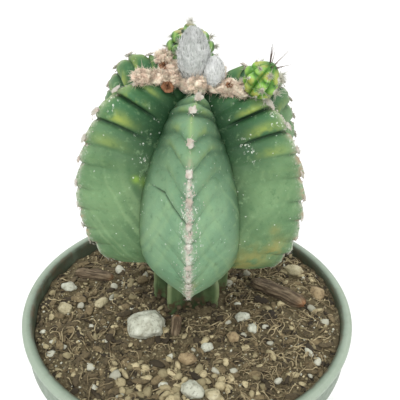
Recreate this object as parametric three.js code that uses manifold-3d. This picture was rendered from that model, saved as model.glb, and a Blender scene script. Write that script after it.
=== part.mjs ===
// A grafted bishop's cap cactus in a round plastic pot of gritty soil.
// Millimetres, +Z up. The origin is the middle of the pot's base, and the plant's front faces -Y.
// Heights on the plant are measured from the pot's rim, and azimuths from the front (-Y) towards +X.

import * as THREE from 'three';
import { mergeVertices } from 'three/addons/utils/BufferGeometryUtils.js';
import Module from 'manifold-3d';

const wasm = await Module();
wasm.setup();

// Pot
const POT_HEIGHT = 90;
const RIM_RADIUS = 52.5;
const RIM_WIDTH = 3.3;
const COLLAR_HEIGHT = 11;
const COLLAR_RADIUS = 51.4;
const WALL = 1.4;
const SHOULDER_RADIUS = 49.2;
const FOOT_RADIUS = 36;
const FOOT_WIDTH = 5;
const FOOT_HEIGHT = 1.2;
const POT_SIDES = 48;
const DRAIN_HOLES = 6;
const DRAIN_RADIUS = 3.5;
const DRAIN_CIRCLE = 23;

// Gap between pieces that touch
const GAP = 0.3;

// Soil
const SOIL_DEPTH = 5;
const SOIL_MOUND = 1.2;
const SOIL_RELIEF = 0.75;
// How much higher the soil is banked up against the wall on the right
const SOIL_BANK = 2.4;
const SOIL_RINGS = 8;

// Plant
const PLANT_X = 0.5;
const PLANT_Y = 8.5;

// Rootstock stem
const STOCK_TOP = 14.5;
const STOCK_BURIED = 30;
const STOCK_ROOT_RADIUS = 12.2;
const STOCK_RIB_RADIUS = 12.6;
const STOCK_VALLEY_RADIUS = 8.6;
const STOCK_RIB_AZIMUTHS = [-75, -33, 47, 97, 150, -145];
const STOCK_RIB_SPREAD = 17;
const STOCK_SIDES = 40;
// Share of the full radius at each height, from the graft down to the soil
const STOCK_OUTLINE = [[14.5, 0.66], [12.6, 0.76], [9.5, 0.9], [6, 0.99], [1, 1.0], [-4, 0.97]];

// Scion: six ribs, each with its azimuth, its reach against the crest outline, its rise, how far its crest
// turns sideways close to the crown, and how much higher its lower tip is
const RIBS = [
  { azimuth: 0, reach: 1.0, rise: 0.0, turn: 11, tip: -1.8 },
  { azimuth: 62, reach: 0.99, rise: -2.4, turn: 0, tip: 1.2 },
  { azimuth: 118, reach: 1.03, rise: 0.4, turn: 0, tip: -0.5 },
  { azimuth: 180, reach: 0.97, rise: -0.5, turn: 5, tip: -1 },
  { azimuth: 236, reach: 0.98, rise: 2.5, turn: 0, tip: -2.1 },
  { azimuth: 298, reach: 0.99, rise: 0.3, turn: 0, tip: 0.4 },
];

// Radius and height along a rib's crest, from the crown over the shoulder to the lower tip
const CREST = [
  [3, 70.5], [12, 72.9], [20, 73], [27, 69.5], [32.5, 60.5], [35.5, 49.5],
  [36, 41], [34.5, 30.5], [32.4, 25], [30, 20.8], [27, 18.4],
];
// The same along the valley between two ribs
const VALLEY = [
  [1.5, 68], [6.2, 67], [10.4, 64.6], [13, 61.2], [17.2, 57.3], [21, 52],
  [23.7, 46], [25.2, 40], [25.4, 34], [24.8, 29], [23, 25],
];
// The underside, from the tips in to the graft
const UNDERSIDE_CREST = [[22, 17.4], [15, 15.8]];
const UNDERSIDE_VALLEY = [[19, 20.6], [13.5, 17]];
const GRAFT_RADIUS = 8.6;
const GRAFT_HEIGHT = 14.8;

// Distances along the crest: the first cross furrow, and the step to the next, longer on the shoulder
const FIRST_FURROW = 8.2;
const FURROW_STEP = 6.8;
const SHOULDER_STEP = 1.7;
const SHOULDER_AT = 22;
const SHOULDER_SPREAD = 5;
const LAST_SEGMENT = 4;
const FURROW_DEPTH_TOP = 2.2;
const FURROW_DEPTH_LOW = 0.18;
const NOTCH_DEPTH = 1;
// How far a flank swells, as a share of its width: towards the crest, and over the valley
const FLANK_SWELL = 0.3;
const VALLEY_SWELL = 0.36;
const AREOLE_HEIGHT = 0.5;
const ROLL_SAMPLES = [0, 0.22, 0.5, 0.8];
const AREOLE_SAMPLE = 0.8;
const FLANK_SAMPLES = [0, 0.14, 0.36, 0.65, 0.88];

// Woolly tufts along the crests: the rib, the distance from the crown and the radius of each
const CROWN_TUFT_RADIUS = 5.2;
const TUFTS = [
  [0, 6, 3.1], [1, 6.6, 3.2], [1, 11, 3.1], [1, 15, 2.8], [2, 6.6, 3.2], [3, 6.6, 3.2],
  [4, 6.4, 3.2], [4, 10.4, 2.8], [5, 6.6, 3.2], [5, 10.8, 2.7], [5, 15.2, 2.9],
];
const TUFT_RISE = 1;

// Flower buds: foot, tip, and greatest radius
const BUD_LARGE = { foot: [0.4, -1.6, 71], tip: [-0.3, -2, 87.2], radius: 4.6, sides: 12, rows: 9 };
const BUD_SMALL = { foot: [5.2, -3.6, 70.6], tip: [5.9, -4.2, 80], radius: 3, sides: 10, rows: 7 };

// Right offset: its middle, its radius and length, and the way that it points
const PUP_RIGHT = {
  middle: [17.8, -9.5, 75.6], radius: 4.9, length: 10.4, heading: [0.5, -0.15, 0.85], ribs: 7, rolls: 3,
};
const SIDES_PER_RIB = 4;
const ROWS_PER_ROLL = 3;
// Back offset: a core, with ribs of round lobes about it and one lobe on top. The tiers of lobes are heights
// above the middle and distances from the axis, and a lobe's half-sizes are outwards, sideways and upwards
const PUP_BACK = { middle: [-1.2, 9.6, 77.6], radius: 6.9, core: [4.7, 4.7, 5.9], ribs: 6, firstRib: -90 };
const LOBE_TIERS = [{ height: 3.3, reach: 3.3 }, { height: 0.6, reach: 4.8 }, { height: -2.3, reach: 4.7 }];
const LOBE = [2.1, 2.6, 1.7];
const TOP_LOBE = 5.3;
const SPINES = 9;
const SPINE_LENGTH = 6;
const SPINE_THICKNESS = 0.5;

// Loose stones on the soil: place, half-sizes, heading and colour
const WHITE_STONE = 0xd9d6cb;
const CREAM_STONE = 0xcfc3a3;
const TAN_STONE = 0xb59a72;
const STONES = [
  { name: 'stone_large', at: [-12.6, -9.8], half: [6.1, 5.4, 4.4], heading: 10, colour: WHITE_STONE },
  { name: 'stone_front', at: [2.2, -33.4], half: [3.7, 2.9, 2.2], heading: -15, colour: WHITE_STONE },
  { name: 'stone_front_cream', at: [8, -35], half: [2.1, 2.5, 1.7], heading: 20, colour: CREAM_STONE },
  { name: 'stone_middle', at: [0.6, -22.6], half: [3, 2, 1.7], heading: -10, colour: TAN_STONE },
  { name: 'stone_left', at: [-40.4, -0.6], half: [2.6, 2.4, 1.9], heading: 0, colour: CREAM_STONE },
  { name: 'stone_left_cream', at: [-28.6, 1.4], half: [2.6, 1.6, 1.5], heading: 50, colour: CREAM_STONE },
  { name: 'stone_left_back', at: [-41.2, 10.2], half: [3, 1.8, 1.4], heading: -15, colour: WHITE_STONE },
  { name: 'stone_right', at: [17.6, -4.2], half: [2.4, 2, 1.7], heading: 15, colour: WHITE_STONE },
  { name: 'stone_right_small', at: [20.6, -9.4], half: [1.6, 2, 1.4], heading: 5, colour: WHITE_STONE },
  { name: 'stone_right_tan', at: [14.4, -13], half: [2.1, 1.8, 1.5], heading: -30, colour: TAN_STONE },
  { name: 'stone_front_small', at: [6.4, -17], half: [2.2, 1.6, 1.4], heading: 10, colour: WHITE_STONE },
  { name: 'stone_back_right', at: [37.2, 19.1], half: [3.3, 2.4, 1.9], heading: -10, colour: CREAM_STONE },
  { name: 'stone_far_right', at: [43.4, 7.7], half: [2.6, 2.9, 2], heading: 20, colour: TAN_STONE },
];
// Loose bark: place, half-sizes, heading, the angle that it stands up by, and how far it is lifted
const BARK = [
  { name: 'bark_right', at: [30, 7.2], half: [10.6, 2.9, 1.4], heading: -36, pitch: 0, lift: 0 },
  { name: 'bark_left', at: [-33.6, 17], half: [7.4, 2.5, 1.3], heading: -12, pitch: 0, lift: 0 },
  { name: 'bark_chip', at: [-3.4, -9.6], half: [3.6, 1.7, 0.8], heading: 80, pitch: 52, lift: 1.6 },
];
const BARK_COLOUR = 0x7a5a3e;
// How far the middle of a stone or of bark stands above the soil, as a share of its half-height
const STONE_RISE = 0.35;

// A repeatable number between 0 and 1 for each whole number
function chance(index) {
  const value = Math.sin(index * 12.9898 + 4.1414) * 43758.5453;
  return value - Math.floor(value);
}

function smooth(from, to, value) {
  const share = Math.min(1, Math.max(0, (value - from) / (to - from)));
  return share * share * (3 - 2 * share);
}

function radians(degrees) {
  return (degrees * Math.PI) / 180;
}

// A point at a radius, azimuth and height
function around(radius, azimuth, height) {
  const angle = radians(azimuth);
  return new THREE.Vector3(radius * Math.sin(angle), -radius * Math.cos(angle), height);
}

// A closed skin through rings of points that run anticlockwise seen from above, from the top ring down
function skin(rings) {
  const sides = rings[0].length;
  const positions = [];
  const faces = [];
  rings.forEach((ring) => ring.forEach((point) => positions.push(point.x, point.y, point.z)));
  for (let row = 0; row < rings.length - 1; row += 1) {
    for (let side = 0; side < sides; side += 1) {
      const next = (side + 1) % sides;
      const a = row * sides + side;
      const b = row * sides + next;
      const c = a + sides;
      const d = b + sides;
      faces.push(a, c, d, a, d, b);
    }
  }
  [0, rings.length - 1].forEach((row) => {
    const middle = rings[row].reduce((sum, point) => sum.add(point), new THREE.Vector3()).divideScalar(sides);
    const centre = positions.length / 3;
    positions.push(middle.x, middle.y, middle.z);
    for (let side = 0; side < sides; side += 1) {
      const a = row * sides + side;
      const b = row * sides + ((side + 1) % sides);
      faces.push(...(row === 0 ? [centre, a, b] : [centre, b, a]));
    }
  });
  const geometry = new THREE.BufferGeometry();
  geometry.setAttribute('position', new THREE.Float32BufferAttribute(positions, 3));
  geometry.setIndex(faces);
  return geometry;
}

function toSolid(geometry) {
  const bare = geometry.clone();
  bare.deleteAttribute('normal');
  bare.deleteAttribute('uv');
  const merged = mergeVertices(bare, 1e-4);
  const index = merged.index.array;
  const kept = [];
  for (let i = 0; i < index.length; i += 3) {
    const [a, b, c] = [index[i], index[i + 1], index[i + 2]];
    if (a !== b && b !== c && c !== a) kept.push(a, b, c);
  }
  return new wasm.Manifold(new wasm.Mesh({
    numProp: 3,
    vertProperties: new Float32Array(merged.attributes.position.array),
    triVerts: new Uint32Array(kept),
  }));
}

// The largest piece of a solid, so that no loose scrap is kept
function largest(solid) {
  return solid.decompose().reduce((best, piece) => (piece.volume() > best.volume() ? piece : best));
}

function toGeometry(solid) {
  const mesh = largest(solid).getMesh();
  const geometry = new THREE.BufferGeometry();
  geometry.setAttribute('position', new THREE.Float32BufferAttribute(mesh.vertProperties, 3));
  geometry.setIndex(new THREE.Uint32BufferAttribute(mesh.triVerts, 1));
  geometry.computeVertexNormals();
  return geometry;
}

// The solid grown about its own middle, so that a neighbour that it cuts keeps the gap
function grown(solid, { radius }) {
  const scale = (radius + GAP) / radius;
  const { min, max } = solid.boundingBox();
  const middle = min.map((low, axis) => (low + max[axis]) / 2);
  return solid.translate(middle.map((value) => -value)).scale(scale).translate(middle);
}

function part(name, geometry, colour, roughness) {
  const material = new THREE.MeshStandardMaterial({ color: colour, roughness, metalness: 0 });
  const mesh = new THREE.Mesh(geometry, material);
  mesh.name = name;
  return mesh;
}

// Pot: foot ring, tapered wall, stepped collar and flat rim band, turned about the axis

function potSolid() {
  const rimInner = RIM_RADIUS - RIM_WIDTH;
  const collarFoot = POT_HEIGHT - COLLAR_HEIGHT;
  const profile = [
    [0, FOOT_HEIGHT],
    [FOOT_RADIUS - FOOT_WIDTH, FOOT_HEIGHT],
    [FOOT_RADIUS - FOOT_WIDTH + 0.6, 0],
    [FOOT_RADIUS - 0.4, 0],
    [FOOT_RADIUS, 0.6],
    [SHOULDER_RADIUS, collarFoot - 0.8],
    [COLLAR_RADIUS, collarFoot],
    [COLLAR_RADIUS, POT_HEIGHT - 2.6],
    [RIM_RADIUS, POT_HEIGHT - 2],
    [RIM_RADIUS, POT_HEIGHT - 0.7],
    [RIM_RADIUS - 0.6, POT_HEIGHT],
    [rimInner + 0.5, POT_HEIGHT - 0.2],
    [rimInner, POT_HEIGHT - 0.9],
    [rimInner, collarFoot + 1],
    [SHOULDER_RADIUS - WALL, collarFoot - 1.4],
    [FOOT_RADIUS - WALL, FOOT_HEIGHT + WALL + 0.6],
    [FOOT_RADIUS - WALL - 0.8, FOOT_HEIGHT + WALL],
    [0, FOOT_HEIGHT + WALL],
  ].map(([radius, height]) => new THREE.Vector2(radius, height));
  const turned = new THREE.LatheGeometry(profile, POT_SIDES).rotateX(Math.PI / 2);
  const holes = Array.from({ length: DRAIN_HOLES }, (_, hole) => {
    const drill = new THREE.CylinderGeometry(DRAIN_RADIUS, DRAIN_RADIUS, 20, 16).rotateX(Math.PI / 2);
    const place = around(DRAIN_CIRCLE, (360 / DRAIN_HOLES) * hole, 0);
    return toSolid(drill.translate(place.x, place.y, 0));
  });
  return toSolid(turned).subtract(wasm.Manifold.union(holes));
}

// Soil: the filling, with a mounded and lumpy surface

// Lumps of the surface, as waves that cross at steps of the golden angle
function relief(x, y) {
  let height = 0;
  for (let wave = 0; wave < 7; wave += 1) {
    const heading = wave * 2.39996;
    const length = 26 / 1.32 ** wave;
    const along = (x * Math.cos(heading) + y * Math.sin(heading)) * ((2 * Math.PI) / length);
    height += Math.sin(along + wave * 1.7) * (1 - wave * 0.08);
  }
  return (SOIL_RELIEF * height) / 2.4;
}

function soilHeight(x, y) {
  const fromPlant = Math.hypot(x - PLANT_X, y - PLANT_Y);
  const heaped = SOIL_MOUND * (1 - smooth(12, 44, fromPlant)) + SOIL_BANK * smooth(6, 46, x);
  return POT_HEIGHT - SOIL_DEPTH + heaped + relief(x, y);
}

function soilSolid(stones) {
  const rimInner = RIM_RADIUS - RIM_WIDTH - GAP;
  const floor = FOOT_HEIGHT + WALL + GAP;
  const step = 360 / POT_SIDES;
  const ringAt = (radius, height) => Array.from({ length: POT_SIDES }, (_, side) => {
    const point = around(radius, side * step, 0);
    point.z = height === undefined ? soilHeight(point.x, point.y) : height;
    return point;
  });
  const rings = [];
  for (let ring = 1; ring <= SOIL_RINGS; ring += 1) {
    rings.push(ringAt((rimInner * ring) / SOIL_RINGS));
  }
  rings.push(ringAt(rimInner, POT_HEIGHT - COLLAR_HEIGHT + 1.2));
  rings.push(ringAt(SHOULDER_RADIUS - WALL - GAP, POT_HEIGHT - COLLAR_HEIGHT - 1.4));
  rings.push(ringAt(FOOT_RADIUS - WALL - 1.6 - GAP, floor + 0.6));
  rings.push(ringAt(FOOT_RADIUS - WALL - 2.4 - GAP, floor));
  const holeRadius = STOCK_RIB_RADIUS + GAP;
  const depth = STOCK_BURIED + GAP;
  const hole = new THREE.CylinderGeometry(holeRadius, holeRadius, depth + 20, 32).rotateX(Math.PI / 2);
  hole.translate(PLANT_X, PLANT_Y, POT_HEIGHT - depth + (depth + 20) / 2);
  return toSolid(skin(rings)).subtract(toSolid(hole)).subtract(wasm.Manifold.union(stones));
}

// Rootstock: sharp narrow ribs above the soil, round where it is buried

function stockRadius(azimuth, height) {
  const nearest = Math.min(...STOCK_RIB_AZIMUTHS.map((rib) => {
    const away = Math.abs(((azimuth - rib + 540) % 360) - 180);
    return away / STOCK_RIB_SPREAD;
  }));
  const rib = Math.exp(-nearest * nearest * 1.6);
  const ribbed = (STOCK_VALLEY_RADIUS + (STOCK_RIB_RADIUS - STOCK_VALLEY_RADIUS) * rib) * stockShare(height);
  return THREE.MathUtils.lerp(STOCK_ROOT_RADIUS, ribbed, smooth(-7, -4, height));
}

function stockShare(height) {
  const step = STOCK_OUTLINE.findIndex(([lower]) => height >= lower);
  if (step === 0) return STOCK_OUTLINE[0][1];
  if (step < 0) return STOCK_OUTLINE.at(-1)[1];
  const [above, below] = [STOCK_OUTLINE[step - 1], STOCK_OUTLINE[step]];
  return THREE.MathUtils.mapLinear(height, above[0], below[0], above[1], below[1]);
}

function stockGeometry() {
  const buried = [-5.5, -7, -14, -STOCK_BURIED];
  const heights = [...STOCK_OUTLINE.map(([height]) => height), ...buried];
  const rings = heights.map((height) => Array.from({ length: STOCK_SIDES }, (_, side) => {
    const azimuth = (360 / STOCK_SIDES) * side;
    const taper = 1 - 0.25 * smooth(10, STOCK_BURIED, -height);
    return around(stockRadius(azimuth, height) * taper, azimuth, height);
  }));
  return skin(rings);
}

// Scion

const [crestCurve, valleyCurve] = [CREST, VALLEY].map((outline) => (
  new THREE.SplineCurve(outline.map(([radius, height]) => new THREE.Vector2(radius, height)))
));
const crestLength = crestCurve.getLength();

// How far each cross furrow lies from the crown, along the crest
const furrows = [];
for (let along = FIRST_FURROW; along < crestLength - LAST_SEGMENT;) {
  furrows.push(along);
  along += FURROW_STEP + SHOULDER_STEP * Math.exp(-(((along - SHOULDER_AT) / SHOULDER_SPREAD) ** 2));
}

// Rows of the skin from the crown to the tips: the furrow that each follows, and its place in the segment
const rows = [];
for (let furrow = -1; furrow < furrows.length; furrow += 1) {
  ROLL_SAMPLES.forEach((place) => rows.push({ furrow, place }));
}
rows.push({ furrow: furrows.length, place: 0 });

// Where a row crosses a rib's crest, with a small shift of the furrows that is different on each rib
function alongCrest(row, rib) {
  const at = (index) => {
    if (index < 0) return 0;
    if (index >= furrows.length) return crestLength;
    return furrows[index] + 1.6 * (chance(rib * 31 + index) - 0.5);
  };
  return THREE.MathUtils.lerp(at(row.furrow), at(row.furrow + 1), row.place);
}

function crestPoint(rib, along) {
  const { azimuth, reach, rise, turn, tip } = RIBS[rib];
  const { x: radius, y: height } = crestCurve.getPointAt(Math.min(1, along / crestLength));
  const turned = azimuth + turn * (1 - smooth(8, 26, radius));
  const lift = rise * smooth(3, 12, radius) + tip * smooth(-34, -22, -height);
  return around(radius * reach, turned, height + lift);
}

function valleyPoint(valley, row) {
  const next = (valley + 1) % RIBS.length;
  const gap = (RIBS[next].azimuth - RIBS[valley].azimuth + 360) % 360;
  const even = row.furrow < 0 ? 0 : furrows[Math.min(row.furrow, furrows.length - 1)];
  const nextEven = row.furrow + 1 < furrows.length ? furrows[row.furrow + 1] : crestLength;
  const from = row.furrow >= furrows.length ? crestLength : even;
  const share = THREE.MathUtils.lerp(from, nextEven, row.place) / crestLength;
  const { x: radius, y: height } = valleyCurve.getPointAt(Math.min(1, share ** 1.1));
  const rise = ((RIBS[valley].rise + RIBS[next].rise) / 2) * smooth(2, 10, radius);
  return around(radius, RIBS[valley].azimuth + gap / 2, height + rise);
}

// The rounded roll between two furrows
function roll(place) {
  return Math.sin(Math.PI * place) ** 0.6;
}

// How deep a furrow is at a share of the flank: wide and deep near the crown, and only a notch at the crest
// lower down
function furrowDepth(share, upper) {
  const flank = THREE.MathUtils.lerp(FURROW_DEPTH_LOW, FURROW_DEPTH_TOP, upper) * share ** 0.9;
  const notch = NOTCH_DEPTH * smooth(0.7, 1, share);
  return THREE.MathUtils.lerp(flank, notch, smooth(0.7, 1, share));
}

// A point of a rib's flank: share 0 is the valley and 1 the crest
function flankPoint(crest, valley, outward, share, depth, place) {
  const point = new THREE.Vector3().lerpVectors(valley, crest, share);
  const swell = FLANK_SWELL * share ** 2 * (1 - share) + VALLEY_SWELL * Math.sqrt(share) * (1 - share) ** 2;
  return point.addScaledVector(outward, swell * crest.distanceTo(valley) + depth * (roll(place) - 1));
}

// One ring of the skin: up and down each rib in turn. The envelope has no furrows, and stands off by outset
function bodyRing(row, flankSamples, outset) {
  const ring = [];
  const last = row.furrow >= furrows.length;
  RIBS.forEach((_, rib) => {
    const along = alongCrest(row, rib);
    const crest = crestPoint(rib, along);
    const before = valleyPoint((rib + RIBS.length - 1) % RIBS.length, row);
    const after = valleyPoint(rib, row);
    const upper = 1 - smooth(0.3, 0.7, along / crestLength);
    const furrowed = last || outset > 0 ? 0 : smooth(2, 10, along);
    const middle = new THREE.Vector3().addVectors(before, after).multiplyScalar(0.5);
    const spine = new THREE.Vector3().subVectors(crest, middle).normalize();
    const across = new THREE.Vector3().subVectors(after, before).normalize();
    const flank = (valley, sign, share) => {
      const outward = across.clone().multiplyScalar(sign).addScaledVector(spine, share * 0.8).normalize();
      const depth = furrowDepth(share, upper) * furrowed;
      const point = flankPoint(crest, valley, outward, share, depth, row.place);
      return point.addScaledVector(outward, share > 0 ? outset : 0);
    };
    flankSamples.forEach((share) => ring.push(flank(before, -1, share)));
    const areole = row.place === AREOLE_SAMPLE && row.furrow >= 0 ? AREOLE_HEIGHT : 0;
    const notch = furrowDepth(1, upper) * furrowed * (roll(row.place) - 1);
    ring.push(crest.addScaledVector(spine, outset > 0 ? outset + AREOLE_HEIGHT : notch + areole));
    flankSamples.slice(1).reverse().forEach((share) => ring.push(flank(after, 1, share)));
  });
  return ring;
}

function bodyGeometry(bodyRows = rows, flankSamples = FLANK_SAMPLES, outset = 0) {
  const perRib = 2 * flankSamples.length;
  const rings = bodyRows.map((row) => bodyRing(row, flankSamples, outset));
  UNDERSIDE_CREST.forEach((outline, step) => {
    rings.push(undersideRing(perRib, outline, UNDERSIDE_VALLEY[step]));
  });
  rings.push(undersideRing(perRib, [GRAFT_RADIUS, GRAFT_HEIGHT], [GRAFT_RADIUS, GRAFT_HEIGHT]));
  return skin(rings);
}

function undersideRing(perRib, [crestRadius, crestHeight], [valleyRadius, valleyHeight]) {
  const ring = [];
  const flat = smooth(GRAFT_RADIUS, 24, crestRadius);
  RIBS.forEach(({ azimuth, rise }, rib) => {
    const before = RIBS[(rib + RIBS.length - 1) % RIBS.length];
    const after = RIBS[(rib + 1) % RIBS.length];
    const gapBefore = (azimuth - before.azimuth + 360) % 360;
    const gapAfter = (after.azimuth - azimuth + 360) % 360;
    for (let step = 0; step < perRib; step += 1) {
      const offset = step / (perRib / 2) - 1;
      const share = 1 - Math.abs(offset);
      const turned = azimuth + (offset * (offset < 0 ? gapBefore : gapAfter)) / 2;
      const radius = THREE.MathUtils.lerp(valleyRadius, crestRadius, share);
      const height = THREE.MathUtils.lerp(valleyHeight, crestHeight, share);
      ring.push(around(radius, turned, height + rise * flat * 0.5));
    }
  });
  return ring;
}

// Ribbed offsets

// A ball with upright ribs that are cut across into rolls, standing on its foot along +Z
function ribbedBall({ radius, length, ribs, rolls }) {
  const sides = ribs * SIDES_PER_RIB;
  const rowCount = rolls * ROWS_PER_ROLL;
  const rings = [];
  for (let row = 0; row <= rowCount; row += 1) {
    const share = THREE.MathUtils.lerp(0.05, 0.95, row / rowCount);
    const outline = Math.sin(Math.PI * share) ** 0.55;
    const place = (row / rowCount) * rolls;
    const rolled = 1 - 0.13 * (1 - roll(place - Math.floor(place)));
    rings.push(Array.from({ length: sides }, (_, side) => {
      const crest = Math.abs(Math.cos((Math.PI * side) / SIDES_PER_RIB)) ** 0.8;
      const waist = 0.74 + 0.26 * crest * rolled;
      return around(radius * outline * waist, (360 / sides) * side, length * (0.5 - share));
    }));
  }
  return skin(rings);
}

// Turns a geometry that stands along +Z to a heading, and carries it to its place
function aim(geometry, heading, place) {
  const turn = new THREE.Quaternion().setFromUnitVectors(
    new THREE.Vector3(0, 0, 1),
    new THREE.Vector3(...heading).normalize(),
  );
  return geometry.applyQuaternion(turn).translate(...place);
}

function pupRightSolid() {
  return toSolid(aim(ribbedBall(PUP_RIGHT), PUP_RIGHT.heading, PUP_RIGHT.middle));
}

function lobe(half, place, azimuth) {
  const ball = new THREE.OctahedronGeometry(1, 1).scale(half[1], half[0], half[2]);
  return toSolid(ball.rotateZ(radians(azimuth)).translate(place.x, place.y, place.z));
}

function pupBackSolid() {
  const { middle, core, ribs, firstRib } = PUP_BACK;
  const lobes = [
    lobe(core, new THREE.Vector3(), 0),
    lobe(LOBE, new THREE.Vector3(0, 0, TOP_LOBE), firstRib),
  ];
  LOBE_TIERS.forEach(({ height, reach }) => {
    for (let rib = 0; rib < ribs; rib += 1) {
      const azimuth = firstRib + (360 / ribs) * rib;
      lobes.push(lobe(LOBE, around(reach, azimuth, height), azimuth));
    }
  });
  return wasm.Manifold.union(lobes).translate(middle);
}

// Thin three-sided spines that fan out of the woolly top of an offset
function spineSolids({ middle, length, heading }) {
  const up = new THREE.Vector3(...heading).normalize();
  const top = new THREE.Vector3(...middle).addScaledVector(up, length * 0.36);
  return Array.from({ length: SPINES }, (_, spine) => {
    const lean = 0.5 + 0.5 * chance(spine + 40);
    const away = around(Math.sin(lean), (360 / SPINES) * spine + 30 * chance(spine), Math.cos(lean));
    const long = SPINE_LENGTH * (0.75 + 0.45 * chance(spine + 80));
    const cone = new THREE.ConeGeometry(SPINE_THICKNESS / 2, long, 3).rotateX(Math.PI / 2);
    const turned = aim(cone.translate(0, 0, long / 2 - 0.4), away.toArray(), [0, 0, 0]);
    return toSolid(aim(turned, up.toArray(), top.toArray()));
  });
}

// Flower buds: an egg of overlapping hairy scales

function budSolid({ foot, tip, radius, sides, rows: rowCount }) {
  const from = new THREE.Vector3(...foot);
  const to = new THREE.Vector3(...tip);
  const length = from.distanceTo(to);
  const rings = [];
  for (let row = 0; row <= rowCount; row += 1) {
    const share = row / rowCount;
    const outline = Math.sin(Math.PI * (0.06 + 0.82 * share ** 0.85)) ** 0.75;
    rings.push(Array.from({ length: sides }, (_, side) => {
      const scale = (side + row) % 2 === 0 ? 1 : 0.91;
      return around(radius * outline * scale, (360 / sides) * side, length * (1 - share));
    }));
  }
  return toSolid(aim(skin(rings), to.sub(from).toArray(), foot));
}

// Crown wool: tufts that join up over the crown and out along the crests

function tuftSolid([x, y, z], radius, seed) {
  const ball = new THREE.IcosahedronGeometry(1, 1);
  const position = ball.attributes.position;
  const point = new THREE.Vector3();
  for (let i = 0; i < position.count; i += 1) {
    point.fromBufferAttribute(position, i);
    const waves = Math.sin(7 * point.x + seed) * Math.cos(6 * point.y - seed);
    const size = radius * (1 + 0.16 * waves + 0.08 * Math.sin(9 * point.z));
    position.setXYZ(i, x + point.x * size, y + point.y * size, z + point.z * size * 0.85);
  }
  return toSolid(ball);
}

function woolSolid(body, neighbours) {
  const tufts = TUFTS.map(([rib, distance, radius], index) => {
    const along = crestLengthAt(distance);
    const { x, y, z } = crestPoint(rib, along);
    return tuftSolid([x, y, z + TUFT_RISE], radius, index);
  });
  tufts.push(tuftSolid([0, 0, CREST[0][1]], CROWN_TUFT_RADIUS, TUFTS.length));
  return wasm.Manifold.union(tufts).subtract(wasm.Manifold.union([body, ...neighbours]));
}

// How far along the crest a radius close to the crown lies
function crestLengthAt(radius) {
  let along = 0;
  while (crestCurve.getPointAt(along / crestLength).x < radius) along += 0.25;
  return along;
}

// Stones and bark

// An irregular blob with flattish faces; extra grows it on every side
function pebble({ at, half, heading }, seed, extra = 0) {
  const ball = new THREE.IcosahedronGeometry(1, 1);
  const position = ball.attributes.position;
  const point = new THREE.Vector3();
  for (let i = 0; i < position.count; i += 1) {
    point.fromBufferAttribute(position, i);
    const dents = 0.09 * Math.sin(6 * point.y - seed) * Math.cos(4 * point.z);
    const lump = 1 + 0.1 * Math.sin(5 * point.x + seed * 2.3) + dents;
    const sizes = half.map((size) => size * lump + extra);
    position.setXYZ(i, point.x * sizes[0], point.y * sizes[1], point.z * sizes[2]);
  }
  ball.rotateZ(radians(heading));
  return toSolid(ball.translate(at[0], at[1], soilHeight(...at) + half[2] * STONE_RISE));
}

// A splintered slab of bark: six-sided sections along its length
function barkSolid({ at, half, heading, pitch, lift }, seed, extra = 0) {
  const sections = 8;
  const rings = Array.from({ length: sections + 1 }, (_, section) => {
    const share = 1 - (2 * section) / sections;
    const width = Math.abs(share) === 1 ? 0.55 : 1;
    return Array.from({ length: 6 }, (__, side) => {
      const rough = width * (0.84 + 0.3 * chance(seed * 97 + section * 6 + side));
      const angle = radians(60 * side);
      const across = Math.cos(angle) * (half[1] * rough + extra);
      const up = Math.sin(angle) * (half[2] * rough + extra);
      return new THREE.Vector3(-up, across, share * (half[0] + extra));
    });
  });
  const slab = skin(rings).rotateY(-Math.PI / 2).rotateY(-radians(pitch)).rotateZ(radians(heading));
  return toSolid(slab.translate(at[0], at[1], soilHeight(...at) + half[2] * STONE_RISE + lift));
}

// The plant's pieces, each cut clear of the ones before it

const body = toSolid(bodyGeometry());
// A plainer form that stands off the body all over, to cut what sits on the crown
const envelopeRows = rows.filter(({ place }) => place === 0 || place === 0.5);
const raisedBody = toSolid(bodyGeometry(envelopeRows, [0, 0.14, 0.5], 2 * GAP)).translate([0, 0, 2 * GAP]);
const budLarge = budSolid(BUD_LARGE).subtract(raisedBody);
const budLargeSpace = grown(budSolid(BUD_LARGE), BUD_LARGE);
const budSmall = budSolid(BUD_SMALL).subtract(raisedBody).subtract(budLargeSpace);
const budSmallSpace = grown(budSolid(BUD_SMALL), BUD_SMALL);
const pupBack = pupBackSolid().subtract(raisedBody).subtract(budLargeSpace).subtract(budSmallSpace);
const pupBackSpace = grown(pupBackSolid(), PUP_BACK);
const pupRight = pupRightSolid().subtract(raisedBody);
const pupRightSpace = grown(pupRightSolid(), PUP_RIGHT);
const wool = woolSolid(raisedBody, [budLargeSpace, budSmallSpace, pupBackSpace, pupRightSpace]);

const plant = new THREE.Group();
plant.position.set(PLANT_X, PLANT_Y, POT_HEIGHT);
plant.add(part('rootstock', stockGeometry(), 0x5d7d50, 0.6));
plant.add(part('cactus_body', toGeometry(body), 0x6f9a78, 0.6));
plant.add(part('crown_wool', toGeometry(wool), 0xc9b79c, 0.95));
plant.add(part('flower_bud_large', toGeometry(budLarge), 0xa3a8a4, 0.9));
plant.add(part('flower_bud_small', toGeometry(budSmall), 0xb2b7b4, 0.9));
plant.add(part('pup_back', toGeometry(pupBack), 0x6aa03c, 0.5));
const spines = wasm.Manifold.union(spineSolids(PUP_RIGHT));
plant.add(part('pup_right', toGeometry(pupRight.add(spines)), 0x63a038, 0.5));

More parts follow.
